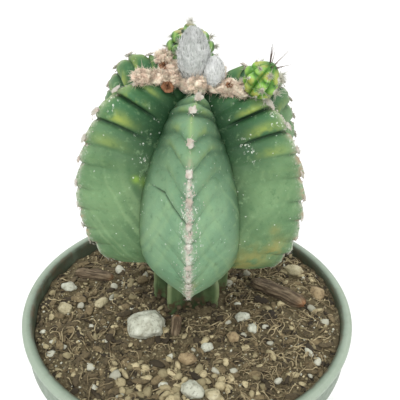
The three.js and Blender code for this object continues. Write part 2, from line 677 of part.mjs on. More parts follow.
const potted = new THREE.Group();
potted.add(part('pot', toGeometry(potSolid()), 0x87968c, 0.55));
const hollows = [
  ...STONES.map((stone, index) => pebble(stone, index, GAP)),
  ...BARK.map((bark, index) => barkSolid(bark, index, GAP)),
];
potted.add(part('soil', toGeometry(soilSolid(hollows)), 0x5b4a3a, 0.95));
STONES.forEach((stone, index) => {
  potted.add(part(stone.name, toGeometry(pebble(stone, index)), stone.colour, 0.9));
});
BARK.forEach((bark, index) => {
  potted.add(part(bark.name, toGeometry(barkSolid(bark, index)), BARK_COLOUR, 0.9));
});
potted.add(plant);

export default potted;
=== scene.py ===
"""Looks for a grafted bishop's cap cactus in a plastic pot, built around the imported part.

Lengths are in millimetres until a mesh is made. Heights on the plant are measured from the pot's rim,
and azimuths from the front (-Y) towards +X, as in the part's source.
"""

import math

import bmesh
import bpy
import numpy as np
from mathutils import Matrix, Vector


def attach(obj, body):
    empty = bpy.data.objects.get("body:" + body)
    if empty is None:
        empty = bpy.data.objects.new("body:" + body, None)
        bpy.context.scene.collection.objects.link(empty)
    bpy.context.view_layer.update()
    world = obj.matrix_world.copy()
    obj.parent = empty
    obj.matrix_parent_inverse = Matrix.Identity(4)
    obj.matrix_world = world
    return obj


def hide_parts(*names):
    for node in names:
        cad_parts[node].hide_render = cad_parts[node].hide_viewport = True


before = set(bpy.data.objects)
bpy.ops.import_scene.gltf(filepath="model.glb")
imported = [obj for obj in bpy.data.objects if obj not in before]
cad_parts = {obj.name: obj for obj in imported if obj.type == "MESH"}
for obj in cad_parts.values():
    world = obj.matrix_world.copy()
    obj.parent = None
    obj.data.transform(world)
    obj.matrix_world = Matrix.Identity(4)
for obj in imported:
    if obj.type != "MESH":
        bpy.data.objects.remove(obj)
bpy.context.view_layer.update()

MM = 0.001
GOLDEN_ANGLE = math.pi * (3 - math.sqrt(5))

# Pot, as in the part's source
POT_HEIGHT = 90
RIM_RADIUS = 52.5
RIM_WIDTH = 3.3
COLLAR_HEIGHT = 11
COLLAR_RADIUS = 51.4
WALL = 1.4
SHOULDER_RADIUS = 49.2
FOOT_RADIUS = 36
FOOT_WIDTH = 5
FOOT_HEIGHT = 1.2
DRAIN_HOLES = 6
DRAIN_RADIUS = 3.5
DRAIN_CIRCLE = 23
INNER_REACH = RIM_RADIUS - RIM_WIDTH

# Points round each ring of a mesh, and rings in the top of the soil
POT_SIDES = 192
STOCK_SIDES = 192
SOIL_SIDES = 300
SOIL_ROWS = 104

# Soil
SOIL_DEPTH = 5
SOIL_MOUND = 1.2
SOIL_RELIEF = 0.75
SOIL_BANK = 2.4
# How far from the pot's axis the pale grains in front and the fibres may lie
CRUMB_REACH = 47
FIBRE_REACH = 48

# The plant's axis, at the height of the rim
PLANT = np.array([0.5, 8.5, POT_HEIGHT])

# Rootstock stem, and how far from its axis the soil stays free of crumbs
STEM_REACH = 12.3
STOCK_TOP = 14.5
STOCK_BURIED = 30
STOCK_ROOT_RADIUS = 12.2
STOCK_RIB_RADIUS = 12.6
STOCK_VALLEY_RADIUS = 8.6
STOCK_RIB_AZIMUTHS = [-75, -33, 47, 97, 150, -145]
STOCK_RIB_SPREAD = 17
STOCK_OUTLINE = [(14.5, 0.66), (12.6, 0.76), (9.5, 0.9), (6, 0.99), (1, 1.0), (-4, 0.97)]

# Scion: azimuth, reach, rise, turn near the crown and lift of the lower tip, for each rib
RIBS = [
    (0, 1.0, 0.0, 11, -1.8),
    (62, 0.99, -2.4, 0, 1.2),
    (118, 1.03, 0.4, 0, -0.5),
    (180, 0.97, -0.5, 5, -1),
    (236, 0.98, 2.5, 0, -2.1),
    (298, 0.99, 0.3, 0, 0.4),
]
CREST = [
    (3, 70.5), (12, 72.9), (20, 73), (27, 69.5), (32.5, 60.5), (35.5, 49.5),
    (36, 41), (34.5, 30.5), (32.4, 25), (30, 20.8), (27, 18.4),
]
VALLEY = [
    (1.5, 68), (6.2, 67), (10.4, 64.6), (13, 61.2), (17.2, 57.3), (21, 52),
    (23.7, 46), (25.2, 40), (25.4, 34), (24.8, 29), (23, 25),
]
UNDERSIDE_CREST = [(22, 17.4), (15, 15.8)]
UNDERSIDE_VALLEY = [(19, 20.6), (13.5, 17)]
GRAFT_RADIUS = 8.6
GRAFT_HEIGHT = 14.8
SCION_MIDDLE = np.array([0, 0, 40])
FIRST_FURROW = 8.2
FURROW_STEP = 6.8
SHOULDER_STEP = 1.7
SHOULDER_AT = 22
SHOULDER_SPREAD = 5
LAST_SEGMENT = 4
# Where an areole sits between two furrows
AREOLE_PLACE = 0.8
FURROW_DEPTH_TOP = 2.2
FURROW_DEPTH_LOW = 0.18
NOTCH_DEPTH = 1
AREOLE_HEIGHT = 0.5
FLANK_SWELL = 0.3
VALLEY_SWELL = 0.36
FLANK_SAMPLES = [0, 0.14, 0.36, 0.65, 0.88]

FRONT_RIB = 0
# How far the V-shaped creases climb for each millimetre away from a crest, rib by rib
CREASE_CLIMB = [0.75, 0.1, 0.2, 0.5, 0.2, 0.1]
# The strongest creases: rib, side of its crest (-1 before it and 1 after), furrow and strength
STRONG_CREASES = {
    (0, -1, 7): 1.3, (0, 1, 3): 0.8, (5, 1, 3): 1.4, (5, 1, 4): 1.3, (1, -1, 3): 1.5, (1, -1, 4): 1.3,
    (2, 1, 3): 1.3, (2, -1, 4): 1.2, (3, 1, 4): 1.3, (3, -1, 6): 1.2, (4, -1, 3): 1.3, (4, 1, 4): 1.2,
}

# Woolly tufts along the crests: rib, distance from the crown and radius
CROWN_TUFT_RADIUS = 5.2
TUFTS = [
    (0, 6, 3.1), (1, 6.6, 3.2), (1, 11, 3.1), (1, 15, 2.8), (2, 6.6, 3.2), (3, 6.6, 3.2),
    (4, 6.4, 3.2), (4, 10.4, 2.8), (5, 6.6, 3.2), (5, 10.8, 2.7), (5, 15.2, 2.9),
]
TUFT_RISE = 1

BUD_LARGE = {"foot": (0.4, -1.6, 71), "tip": (-0.3, -2, 87.2), "radius": 4.6}
BUD_SMALL = {"foot": (5.2, -3.6, 70.6), "tip": (5.9, -4.2, 80), "radius": 3}
# Pale, warm and dark tones of the hairs
LARGE_BUD_TONES = [(244, 246, 244), (222, 226, 222), (70, 74, 60)]
SMALL_BUD_TONES = [(252, 253, 252), (240, 242, 240), (150, 152, 146)]
PUP_RIGHT = {
    "middle": (17.8, -9.5, 75.6), "radius": 4.9, "length": 10.4,
    "heading": (0.5, -0.15, 0.85), "ribs": 7, "rolls": 3,
}
PUP_BACK = {"middle": (-1.2, 9.6, 77.6), "core": (4.7, 4.7, 5.9), "ribs": 6, "firstRib": -90}
LOBE_TIERS = [(3.3, 3.3), (0.6, 4.8), (-2.3, 4.7)]
LOBE = (2.1, 2.6, 1.7)
TOP_LOBE = 5.3
SPINES = 9
SPINE_LENGTH = 6

# Stones: node, kind, place, half-sizes and heading, as in the part's source
STONES = [
    ("stone_large", "white", (-12.6, -9.8), (6.1, 5.4, 4.4), 10),
    ("stone_front", "white", (2.2, -33.4), (3.7, 2.9, 2.2), -15),
    ("stone_front_cream", "cream", (8, -35), (2.1, 2.5, 1.7), 20),
    ("stone_middle", "tan", (0.6, -22.6), (3, 2, 1.7), -10),
    ("stone_left", "cream", (-40.4, -0.6), (2.6, 2.4, 1.9), 0),
    ("stone_left_cream", "cream", (-28.6, 1.4), (2.6, 1.6, 1.5), 50),
    ("stone_left_back", "white", (-41.2, 10.2), (3, 1.8, 1.4), -15),
    ("stone_right", "white", (17.6, -4.2), (2.4, 2, 1.7), 15),
    ("stone_right_small", "white", (20.6, -9.4), (1.6, 2, 1.4), 5),
    ("stone_right_tan", "tan", (14.4, -13), (2.1, 1.8, 1.5), -30),
    ("stone_front_small", "white", (6.4, -17), (2.2, 1.6, 1.4), 10),
    ("stone_back_right", "cream", (37.2, 19.1), (3.3, 2.4, 1.9), -10),
    ("stone_far_right", "tan", (43.4, 7.7), (2.6, 2.9, 2), 20),
]
# Bark: node, place, half-sizes, heading, pitch and lift
BARK = [
    ("bark_right", (30, 7.2), (10.6, 2.9, 1.4), -36, 0, 0),
    ("bark_left", (-33.6, 17), (7.4, 2.5, 1.3), -12, 0, 0),
    ("bark_chip", (-3.4, -9.6), (3.6, 1.7, 0.8), 80, 52, 1.6),
]
STONE_RISE = 0.35

# Camera: angles in degrees and distances in millimetres, measured from the middle of the rim
CAMERA_DOWN = 31.14
CAMERA_ROLL = 1.36
CAMERA_DISTANCE = 195.6
CAMERA_SIDE = -3.12
CAMERA_UP = -32.66
CAMERA_LENS = 54


# Numbers

def chance(index):
    """A repeatable number between 0 and 1 for each whole number, as in the part's source."""
    value = math.sin(index * 12.9898 + 4.1414) * 43758.5453
    return value - math.floor(value)


def smooth(low, high, value):
    share = np.clip((np.asarray(value, float) - low) / (high - low), 0, 1)
    return share * share * (3 - 2 * share)


def lerp(a, b, share):
    return a + (b - a) * share


def bell(distance, width):
    return np.exp(-((np.asarray(distance) / width) ** 2))


def unit(vectors):
    vectors = np.asarray(vectors, float)
    return vectors / np.maximum(np.linalg.norm(vectors, axis=-1, keepdims=True), 1e-9)


def around(radius, azimuth, height):
    angle = np.radians(azimuth)
    parts = np.broadcast_arrays(radius * np.sin(angle), -radius * np.cos(angle), height)
    return np.stack(parts, axis=-1).astype(float)


def lattice(cell, seed):
    """A repeatable number between -1 and 1 for each cell of a grid."""
    x, y, z = (cell[..., axis] for axis in range(3))
    mixed = (x * 374761393 + y * 668265263 + z * 1440662683 + seed * 974634777) & 0xFFFFFFFF
    mixed = ((mixed ^ (mixed >> 13)) * 1274126177) & 0xFFFFFFFF
    mixed = (mixed ^ (mixed >> 16)) & 0xFFFFFF
    return mixed / float(0x7FFFFF) - 1


def noise(points, size, seed=0):
    """Smooth noise between -1 and 1, whose lumps are about size across."""
    scaled = np.asarray(points, float) / size
    cell = np.floor(scaled).astype(np.int64)
    part = scaled - cell
    ease = part * part * (3 - 2 * part)
    total = 0
    for corner in range(8):
        step = np.array([(corner >> axis) & 1 for axis in range(3)])
        weight = np.prod(np.where(step == 1, ease, 1 - ease), axis=-1)
        total = total + weight * lattice(cell + step, seed)
    return total


def rough(points, size, octaves=3, seed=0):
    """Noise with finer noise laid over it, each octave half the size and strength of the last."""
    total = 0
    for octave in range(octaves):
        total = total + noise(points, size / 2**octave, seed + 17 * octave) / 2**octave
    return total


def cubic(a, b, leaving, arriving, part):
    """A curve from a to b, given its slope at each end."""
    curve = (2 * a - 2 * b + leaving + arriving) * part**3
    return curve + (-3 * a + 3 * b - 2 * leaving - arriving) * part**2 + leaving * part + a


class Outline:
    """A smooth curve through points in the plane, followed by its arc length, as in the part's source."""

    def __init__(self, points):
        self.points = np.array(points, float)
        self.steps = np.linspace(0, 1, 201)
        spans = np.linalg.norm(np.diff(self.at(self.steps), axis=0), axis=1)
        self.lengths = np.concatenate([[0], np.cumsum(spans)])
        self.length = self.lengths[-1]

    def at(self, steps):
        last = len(self.points) - 1
        place = np.asarray(steps, float) * last
        index = np.minimum(np.floor(place).astype(int), last)
        before, here, after, beyond = (self.points[np.clip(index + step, 0, last)] for step in (-1, 0, 1, 2))
        return cubic(here, after, (after - before) / 2, (beyond - here) / 2, (place - index)[..., None])

    def at_share(self, share):
        wanted = np.clip(share, 0, 1) * self.length
        return self.at(np.interp(wanted, self.lengths, self.steps))


# Meshes

class Shape:
    """Points and faces gathered for one mesh, with a named number at each point for its material."""

    def __init__(self):
        self.points, self.marks, self.count = [], {}, 0
        self.triangles, self.quads = [], []

    def add(self, points, triangles=(), quads=(), **marks):
        points = np.asarray(points, float).reshape(-1, 3)
        self.triangles.append(np.asarray(triangles, int).reshape(-1, 3) + self.count)
        self.quads.append(np.asarray(quads, int).reshape(-1, 4) + self.count)
        for name, values in marks.items():
            filled = np.broadcast_to(np.asarray(values, float), (len(points),))
            self.marks.setdefault(name, []).append((self.count, filled))
        self.points.append(points)
        self.count += len(points)


def build(name, shape, material, replaced=()):
    """Makes the piece from its shape, on the plant's one body."""
    mesh = bpy.data.meshes.new(name)
    points = np.concatenate(shape.points) * MM
    triangles, quads = np.concatenate(shape.triangles), np.concatenate(shape.quads)
    mesh.vertices.add(len(points))
    mesh.vertices.foreach_set("co", points.astype(np.float32).ravel())
    corners = np.concatenate([triangles.ravel(), quads.ravel()])
    mesh.loops.add(len(corners))
    mesh.loops.foreach_set("vertex_index", corners.astype(np.int32))
    sizes = np.repeat([3, 4], [len(triangles), len(quads)])
    mesh.polygons.add(len(sizes))
    mesh.polygons.foreach_set("loop_start", (np.cumsum(sizes) - sizes).astype(np.int32))
    mesh.update(calc_edges=True)
    mesh.polygons.foreach_set("use_smooth", np.ones(len(sizes), bool))
    for mark, chunks in shape.marks.items():
        values = np.zeros(len(points), np.float32)
        for start, chunk in chunks:
            values[start:start + len(chunk)] = chunk
        mesh.attributes.new(mark, "FLOAT", "POINT").data.foreach_set("value", values)
    mesh.materials.append(material)
    piece = bpy.data.objects.new(name, mesh)
    bpy.context.scene.collection.objects.link(piece)
    if replaced:
        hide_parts(*replaced)
    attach(piece, "root")
    return piece


BALLS = {}


def ball(level):
    """The points and triangles of a ball of radius 1."""
    if level not in BALLS:
        made = bmesh.new()
        bmesh.ops.create_icosphere(made, subdivisions=level, radius=1)
        made.verts.ensure_lookup_table()
        points = np.array([vertex.co[:] for vertex in made.verts])
        faces = np.array([[vertex.index for vertex in face.verts] for face in made.faces])
        made.free()
        BALLS[level] = (points, faces)
    return BALLS[level]


def grid_faces(rows, columns):
    """Quads of a skin of closed rings, from the top ring down, that run anticlockwise seen from above."""
    row, column = np.meshgrid(np.arange(rows - 1), np.arange(columns), indexing="ij")
    a = row * columns + column
    b = row * columns + (column + 1) % columns
    return np.stack([a, a + columns, b + columns, b], axis=-1).reshape(-1, 4)


def add_skin(shape, rings, **marks):
    """Adds a closed skin through rings, an array of rows of points, with a fan over each end."""
    rows, columns = rings.shape[:2]
    points = np.concatenate([rings.reshape(-1, 3), [rings[0].mean(0), rings[-1].mean(0)]])
    side = np.arange(columns)
    after = (side + 1) % columns
    top = np.stack([np.full(columns, rows * columns), side, after], axis=-1)
    low = (rows - 1) * columns
    bottom = np.stack([np.full(columns, rows * columns + 1), low + after, low + side], axis=-1)
    filled = {}
    for name, values in marks.items():
        values = np.broadcast_to(np.asarray(values, float), (rows, columns))
        filled[name] = np.concatenate([values.ravel(), [values[0].mean(), values[-1].mean()]])
    shape.add(points, np.concatenate([top, bottom]), grid_faces(rows, columns), **filled)


def basis(headings):
    """For each heading, two directions square to it and to each other."""
    headings = unit(headings)
    helper = np.where(np.abs(headings[..., 2:]) < 0.9, [0.0, 0.0, 1.0], [1.0, 0.0, 0.0])
    side = unit(np.cross(helper, headings))
    return side, np.cross(headings, side)


def circle(centre, radius, angle, side, other):
    """Points around a centre, at an angle from side towards other."""
    return centre + (radius * np.cos(angle))[..., None] * side + (radius * np.sin(angle))[..., None] * other


def framed(local, *ways):
    """Points that are given along three directions, as points in space."""
    return sum(local[:, axis:axis + 1] * way for axis, way in enumerate(ways))


def turned(points, rotation):
    """Points turned by a rotation."""
    return points @ np.array(rotation).T


def stacked(x, y, z):
    """Points from rows and columns of numbers."""
    return np.stack(np.broadcast_arrays(x, y, z), axis=-1)


def lumpy(points, depth, size, octaves, seed, shift=0):
    """A ball with a rough surface."""
    return points * (1 + depth * rough(points + shift, size, octaves, seed))[:, None]


def add_strands(shape, roots, ways, lengths, width, curl, rng, steps=3, **marks):
    """Adds thin tapered hairs of three sides, each with its own bend."""
    roots = np.asarray(roots, float)
    count = len(roots)
    ways = unit(ways)
    lengths = np.broadcast_to(lengths, (count,))[:, None]
    width = np.broadcast_to(width, (count,))[:, None]
    side, other = basis(ways)
    bend = rng.normal(size=(count, 3)) * curl
    points = []
    for step in range(steps):
        share = step / steps
        centre = roots + (ways * share + bend * share * share) * lengths
        radius = width / 2 * (1 - 0.65 * share)
        for angle in np.arange(3) * math.tau / 3:
            points.append(centre + radius * (math.cos(angle) * side + math.sin(angle) * other))
    points.append(roots + (ways + bend) * lengths)
    each = len(points)
    quads, triangles = [], [(0, 2, 1)]
    for step in range(steps):
        for corner in range(3):
            a, b = 3 * step + corner, 3 * step + (corner + 1) % 3
            if step < steps - 1:
                quads.append((a, b, b + 3, a + 3))
            else:
                triangles.append((a, b, each - 1))
    first = np.arange(count)[:, None, None] * each
    filled = {name: np.repeat(np.broadcast_to(values, (count,)), each) for name, values in marks.items()}
    along = np.tile(np.append(np.repeat(np.arange(steps) / steps, 3), 1), count)
    shape.add(np.stack(points, axis=1), triangles + first, quads + first, along=along, **filled)


# Materials

def colour(red, green, blue):
    """A screen colour, 0 to 255, as the linear colour that a shader takes."""
    channels = [value / 255 for value in (red, green, blue)]
    return tuple(c / 12.92 if c <= 0.04045 else ((c + 0.055) / 1.055) ** 2.4 for c in channels) + (1,)


class Look:
    """A node material that is built up one node at a time. What goes into a node is a number, another node's
    output or the name of a mark of the mesh."""

    def __init__(self, name, roughness):
        self.material = bpy.data.materials.new(name)
        self.material.use_nodes = True
        self.tree = self.material.node_tree
        self.tree.nodes.clear()
        self.shader = self.node("BsdfPrincipled", {"Roughness": roughness})
        self.node("OutputMaterial", {"Surface": self.shader.outputs[0]})
        self.place = self.node("TexCoord").outputs["Object"]
        self.tone = None

    def node(self, kind, inputs=(), **settings):
        node = self.tree.nodes.new("ShaderNode" + kind)
        for name, value in settings.items():
            setattr(node, name, value)
        for socket, value in dict(inputs).items():
            self.put(node.inputs[socket], value)
        return node

    def put(self, socket, value):
        if isinstance(value, str):
            value = self.node("Attribute", attribute_name=value).outputs["Fac"]
        if isinstance(value, bpy.types.NodeSocket):
            self.tree.links.new(value, socket)
        else:
            socket.default_value = value

    def set(self, name, value):
        self.put(self.shader.inputs[name], value)

    def spots(self, size, stretch):
        """What a texture takes for lumps of a size in millimetres, stretched or not."""
        place = self.place
        if stretch:
            place = self.node("Mapping", {"Vector": place, "Scale": stretch}).outputs[0]
        return {"Vector": place, "Scale": 1 / (size * MM)}

    def noise(self, size, detail=3, roughness=0.55, stretch=None):
        grain = {"Detail": detail, "Roughness": roughness, **self.spots(size, stretch)}
        return self.node("TexNoise", grain).outputs["Fac"]

    def cells(self, size, stretch=None):
        return self.node("TexVoronoi", self.spots(size, stretch)).outputs["Distance"]

    def work(self, operation, a, b):
        return self.node("Math", {0: a, 1: b}, operation=operation).outputs[0]

    def times(self, a, b):
        return self.work("MULTIPLY", a, b)

    def span(self, value, low, high, to_low=0.0, to_high=1.0):
        """Value moved from one range to another, eased and kept inside it."""
        inputs = enumerate((value, low, high, to_low, to_high))
        return self.node("MapRange", inputs, interpolation_type="SMOOTHSTEP").outputs[0]

    def mix(self, share, a, b):
        """A share of the way from one shade to another."""
        a, b = (colour(*shade) if isinstance(shade, tuple) else shade for shade in (a, b))
        return self.node("Mix", {"Factor": share, 6: a, 7: b}, data_type="RGBA").outputs[2]

    def coat(self, share, shade, strength=None):
        """Lays a shade over the tone, where share is high."""
        self.tone = self.mix(self.times(share, strength) if strength else share, self.tone, shade)

    def bump(self, height, distance, strength):
        return self.node("Bump", {"Height": height, "Distance": distance * MM, "Strength": strength})

    def done(self, bump):
        """The finished material."""
        self.set("Base Color", self.tone)
        self.set("Normal", bump.outputs[0])
        return self.material


def skin_look():
    """Waxy blue-green skin, with painted light and shade: very dark in the upper valleys and in the creases,
    paler on the front rib and along the crests, with yellow highlights on the bellies of the rolls; also
    stains and white flecks.
    """
    look = Look("cactus_skin", 0.5)
    broad = look.span(look.noise(14, 4), 0.35, 0.65)
    fine = look.noise(2, 4, 0.65)
    # Painted light and shade: paler tones for the front rib, as lit, and darker ones for the side ribs, as in
    # shade.
    side = look.mix(broad, (88, 121, 86), (108, 139, 100))
    front = look.mix(broad, (108, 144, 112), (124, 158, 122))
    low = look.mix(broad, (92, 125, 86), (114, 146, 103))
    side = look.mix(look.work("SUBTRACT", 1.0, "upper"), side, low)
    look.tone = look.mix("dusty", side, front)
    # Painted light and shade on the upper part: darker on the side ribs, as shade under the crown, and paler
    # on the front rib, as lit from above.
    look.coat("upper", look.mix("dusty", (72, 122, 80), (132, 170, 134)), 0.85)
    # Painted shade: very dark in the valleys, most of all near the crown.
    look.coat("valley", (10, 44, 18), 0.92)
    look.coat("fan", (146, 174, 126), 0.28)
    # Painted highlights: yellow patches on the bellies of the rolls.
    look.coat(look.times("belly", look.span(look.noise(5, 3), 0.34, 0.56)), (172, 184, 84), 0.85)
    look.coat(look.span(fine, 0.53, 0.78, 0, 0.42), (146, 176, 132))
    look.coat(look.span(fine, 0.47, 0.25, 0, 0.5), (62, 98, 62))
    look.coat(look.times("stain", look.span(look.noise(3, 4), 0.32, 0.58)), (158, 148, 84), 0.65)
    look.coat("lime", (134, 168, 60), 0.8)
    # Painted highlight: a pale band along the crests in the upper part.
    look.coat("keel", (150, 172, 104), 0.55)
    crust = look.times("crust", look.span(look.noise(1.1, 4, 0.7), 0.36, 0.5))
    look.coat(crust, (206, 204, 190), 0.85)
    look.coat(look.times("scar", look.span(look.noise(1.1, 3), 0.42, 0.58)), (150, 116, 88), 0.8)
    # Painted shade in the creases.
    look.coat("crease", (18, 42, 24), 0.8)
    ragged = look.span(look.noise(0.45, 3, 0.7), 0.42, 0.56)
    dots = look.times(look.span(look.cells(0.8, stretch=(1, 1, 0.6)), 0.46, 0.3), ragged)
    flecks = look.times(dots, look.span("fleck", 0.05, 0.45))
    flecks = look.times(flecks, look.span(look.noise(1.3, 2), 0.42, 0.52))
    sparse = look.times(look.span(look.cells(2.6), 0.12, 0.05), 0.75)
    flecks = look.work("MAXIMUM", flecks, look.times(sparse, ragged))
    look.coat(flecks, (216, 226, 210))
    look.set("Roughness", look.span(fine, 0.3, 0.7, 0.45, 0.65))
    look.set("Specular IOR Level", 0.2)
    look.set("Subsurface Weight", 0.05)
    look.set("Subsurface Scale", 0.002)
    pores = look.bump(look.noise(0.7, 3, 0.6), 0.12, 0.5)
    bump = look.bump(look.work("ADD", look.work("ADD", fine, flecks), crust), 0.25, 0.6)
    look.put(bump.inputs["Normal"], pores.outputs[0])
    return look.done(bump)


def felt_look(name, pale, warm, dark):
    """Wool or hair: paler at the tips, with darker and warmer clumps."""
    look = Look(name, 0.95)
    look.tone = look.mix(look.span(look.noise(1.8, 3), 0.35, 0.65), pale, warm)
    look.coat("tone", dark)
    look.coat(look.span("along", 0.5, 0.0, 0, 0.2), dark)
    look.set("Sheen Weight", 0.3)
    look.set("Sheen Roughness", 0.6)
    return look.done(look.bump(look.noise(0.35, 3, 0.7), 0.15, 0.7))


def offset_look(name, bright, deep, pale):
    """Fresh green skin of an offset: darkened by painted shade between its lumps, pale along their edges."""
    look = Look(name, 0.42)
    look.tone = look.mix(look.span(look.noise(2.6, 3), 0.35, 0.65), bright, look.mix(0.5, bright, deep))
    look.coat("edge", pale)
    # Painted shade in the grooves between the lumps.
    look.coat(look.span("groove", 0.1, 0.8), deep)
    look.coat("tip", (176, 160, 78), 0.7)
    look.set("Subsurface Weight", 0.06)
    look.set("Subsurface Scale", 0.002)
    return look.done(look.bump(look.noise(0.6, 3, 0.6), 0.12, 0.5))


def stock_look():
    """Smooth green stem with thin pale rib edges and painted shade in the hollows between them; dust from the
    soil lies low on it.
    """
    look = Look("stock_skin", 0.5)
    look.tone = look.mix(look.span(look.noise(6, 3), 0.35, 0.65), (64, 86, 52), (86, 108, 70))
    streaks = look.noise(1.6, 3, 0.6, stretch=(1, 1, 0.2))
    look.coat(look.span(streaks, 0.5, 0.75, 0, 0.3), (128, 150, 100))
    # Painted shade in the hollows between the ribs.
    look.coat("hollow", (34, 48, 26), 0.75)
    look.coat("edge", (160, 176, 128), 0.55)
    look.coat(look.times("dust", look.span(look.noise(1.8, 4), 0.42, 0.6)), (80, 66, 48))
    return look.done(look.bump(look.work("ADD", streaks, look.noise(0.6, 3)), 0.15, 0.5))


def pot_look():
    """Grey-green moulded plastic with fine turning marks, scuffs and soil dust, painted light on the top of
    the rim and painted shade over the inner wall.
    """
    look = Look("pot_plastic", 0.5)
    look.tone = look.mix(look.span(look.noise(22, 4), 0.35, 0.65), (116, 132, 114), (128, 144, 126))
    # Painted light: the top of the rim and its rounded outer edge paler, as lit from above.
    look.coat("lip", (172, 186, 168), 0.6)
    look.coat(look.span(look.noise(3.5, 5, 0.7, stretch=(1, 1, 3)), 0.6, 0.75), (160, 172, 156), 0.3)
    # A dark coat over the inner wall: painted shade, partly damp dirt.
    look.coat(look.times(look.span(look.noise(7, 4), 0.3, 0.5, 0.6, 1), "inside"), (52, 56, 36), 0.75)
    dust = look.span(look.noise(4, 5, 0.7), 0.46, 0.68)
    look.coat(look.times(dust, "inside"), (92, 82, 62))
    look.coat(dust, (104, 98, 82), 0.12)
    look.set("Roughness", look.span(look.noise(2, 4), 0.3, 0.7, 0.42, 0.62))
    turning = look.noise(0.8, 2, stretch=(0.02, 0.02, 1))
    return look.done(look.bump(look.work("ADD", turning, look.noise(0.5, 3)), 0.06, 0.5))


def soil_look():
    look = Look("soil", 0.95)
    look.tone = look.mix(look.span(look.noise(2.6, 5, 0.7), 0.36, 0.52), (44, 37, 26), (98, 87, 62))
    look.coat(look.span(look.noise(1.1, 4, 0.7), 0.52, 0.7), (150, 138, 106))
    grit = look.times(look.span(look.cells(1.7), 0.34, 0.2), look.span(look.noise(6, 3), 0.5, 0.65))
    look.coat(grit, (170, 158, 126))
    return look.done(look.bump(look.noise(0.9, 5, 0.75), 0.6, 1.0))


# Pot

def pot_rings():
    """The part's own pot outline with rounded corners, as rings from the inner floor outwards."""
    rim, inner_rim, top = RIM_RADIUS, INNER_REACH, POT_HEIGHT
    collar, collar_foot = COLLAR_RADIUS, POT_HEIGHT - COLLAR_HEIGHT
    neck, foot, floor = SHOULDER_RADIUS, FOOT_RADIUS, FOOT_HEIGHT + WALL
    inner = [
        (0.5, floor), (foot - WALL - 0.8, floor), (foot - WALL, floor + 0.8),
        (neck - WALL, collar_foot - 1.4), (inner_rim, collar_foot + 1), (inner_rim, top - 1.4),
        (inner_rim + 0.1, top - 0.7), (inner_rim + 0.45, top - 0.28),
    ]
    lip = [
        (inner_rim + 1.1, top - 0.1), (rim - 1.1, top - 0.02), (rim - 0.6, top - 0.02),
        (rim - 0.15, top - 0.35), (rim, top - 0.8), (rim, top - 1.6),
    ]
    outer = [
        (rim - 0.2, top - 2), (collar + 0.2, top - 2.4), (collar, top - 2.9), (collar, collar_foot + 0.5),
        (collar - 0.4, collar_foot - 0.1), (neck + 0.3, collar_foot - 0.7), (neck - 0.1, collar_foot - 1.6),
        (foot, 0.7), (foot - 0.15, 0.2), (foot - 0.6, 0), (foot - FOOT_WIDTH + 0.6, 0),
        (foot - FOOT_WIDTH, FOOT_HEIGHT - 0.3), (foot - FOOT_WIDTH - 0.4, FOOT_HEIGHT), (0.5, FOOT_HEIGHT),
    ]
    outline = np.array(inner + lip + outer)
    path, inside, edge = [outline[0]], [1.0], [0.0]
    for index, (start, end) in enumerate(zip(outline, outline[1:])):
        pieces = max(1, int(np.hypot(*(end - start)) / 6))
        for step in range(1, pieces + 1):
            path.append(lerp(start, end, step / pieces))
            # The inner wall, which takes painted shade and dust.
            inside.append(float(index < len(inner) - 1))
            # The top of the rim, which takes painted light.
            edge.append(float(len(inner) < index + 1 < len(inner) + len(lip)))
    path = np.array(path)
    rings = around(path[:, :1], np.arange(POT_SIDES)[None] * (360 / POT_SIDES), path[:, 1:])
    return rings, np.array(inside)[:, None], np.array(edge)[:, None]


def make_pot():
    rings, inside, lip = pot_rings()
    shape = Shape()
    add_skin(shape, rings, inside=inside, lip=lip)
    pot = build("pot_moulded", shape, pot_look(), ["pot"])
    radius = DRAIN_RADIUS * MM
    for hole in range(DRAIN_HOLES):
        place = Matrix.Translation(around(DRAIN_CIRCLE, 360 / DRAIN_HOLES * hole, 0) * MM)
        drill = bmesh.new()
        bmesh.ops.create_cone(
            drill, cap_ends=True, segments=32, radius1=radius, radius2=radius, depth=20 * MM, matrix=place)
        mesh = bpy.data.meshes.new("drill")
        drill.to_mesh(mesh)
        drill.free()
        tool = bpy.data.objects.new("drill", mesh)
        bpy.context.scene.collection.objects.link(tool)
        cut = pot.modifiers.new("drain", "BOOLEAN")
        cut.operation = "DIFFERENCE"
        cut.solver = "EXACT"
        cut.object = tool
        pot.data = bpy.data.meshes.new_from_object(pot.evaluated_get(bpy.context.evaluated_depsgraph_get()))
        pot.modifiers.clear()
        bpy.data.objects.remove(tool)


# Soil

def relief(x, y):
    height = 0
    for wave in range(7):
        heading = wave * 2.39996
        length = 26 / 1.32**wave
        along = (x * math.cos(heading) + y * math.sin(heading)) * (math.tau / length)
        height = height + np.sin(along + wave * 1.7) * (1 - wave * 0.08)
    return SOIL_RELIEF * height / 2.4


def soil_height(x, y):
    from_plant = np.hypot(x - PLANT[0], y - PLANT[1])
    heaped = SOIL_MOUND * (1 - smooth(12, 44, from_plant)) + SOIL_BANK * smooth(6, 46, x)
    return POT_HEIGHT - SOIL_DEPTH + heaped + relief(x, y)


def crumbly_height(x, y):
    """The soil's own surface with crumbs on it."""
    flat = np.stack([x, y, np.zeros_like(x)], axis=-1)
    crumbs = 0.75 * np.abs(noise(flat, 3.4, 71)) + 0.5 * np.abs(noise(flat, 1.7, 72))
    return soil_height(x, y) + (crumbs + 0.25 * noise(flat, 0.9, 73)) - 0.35


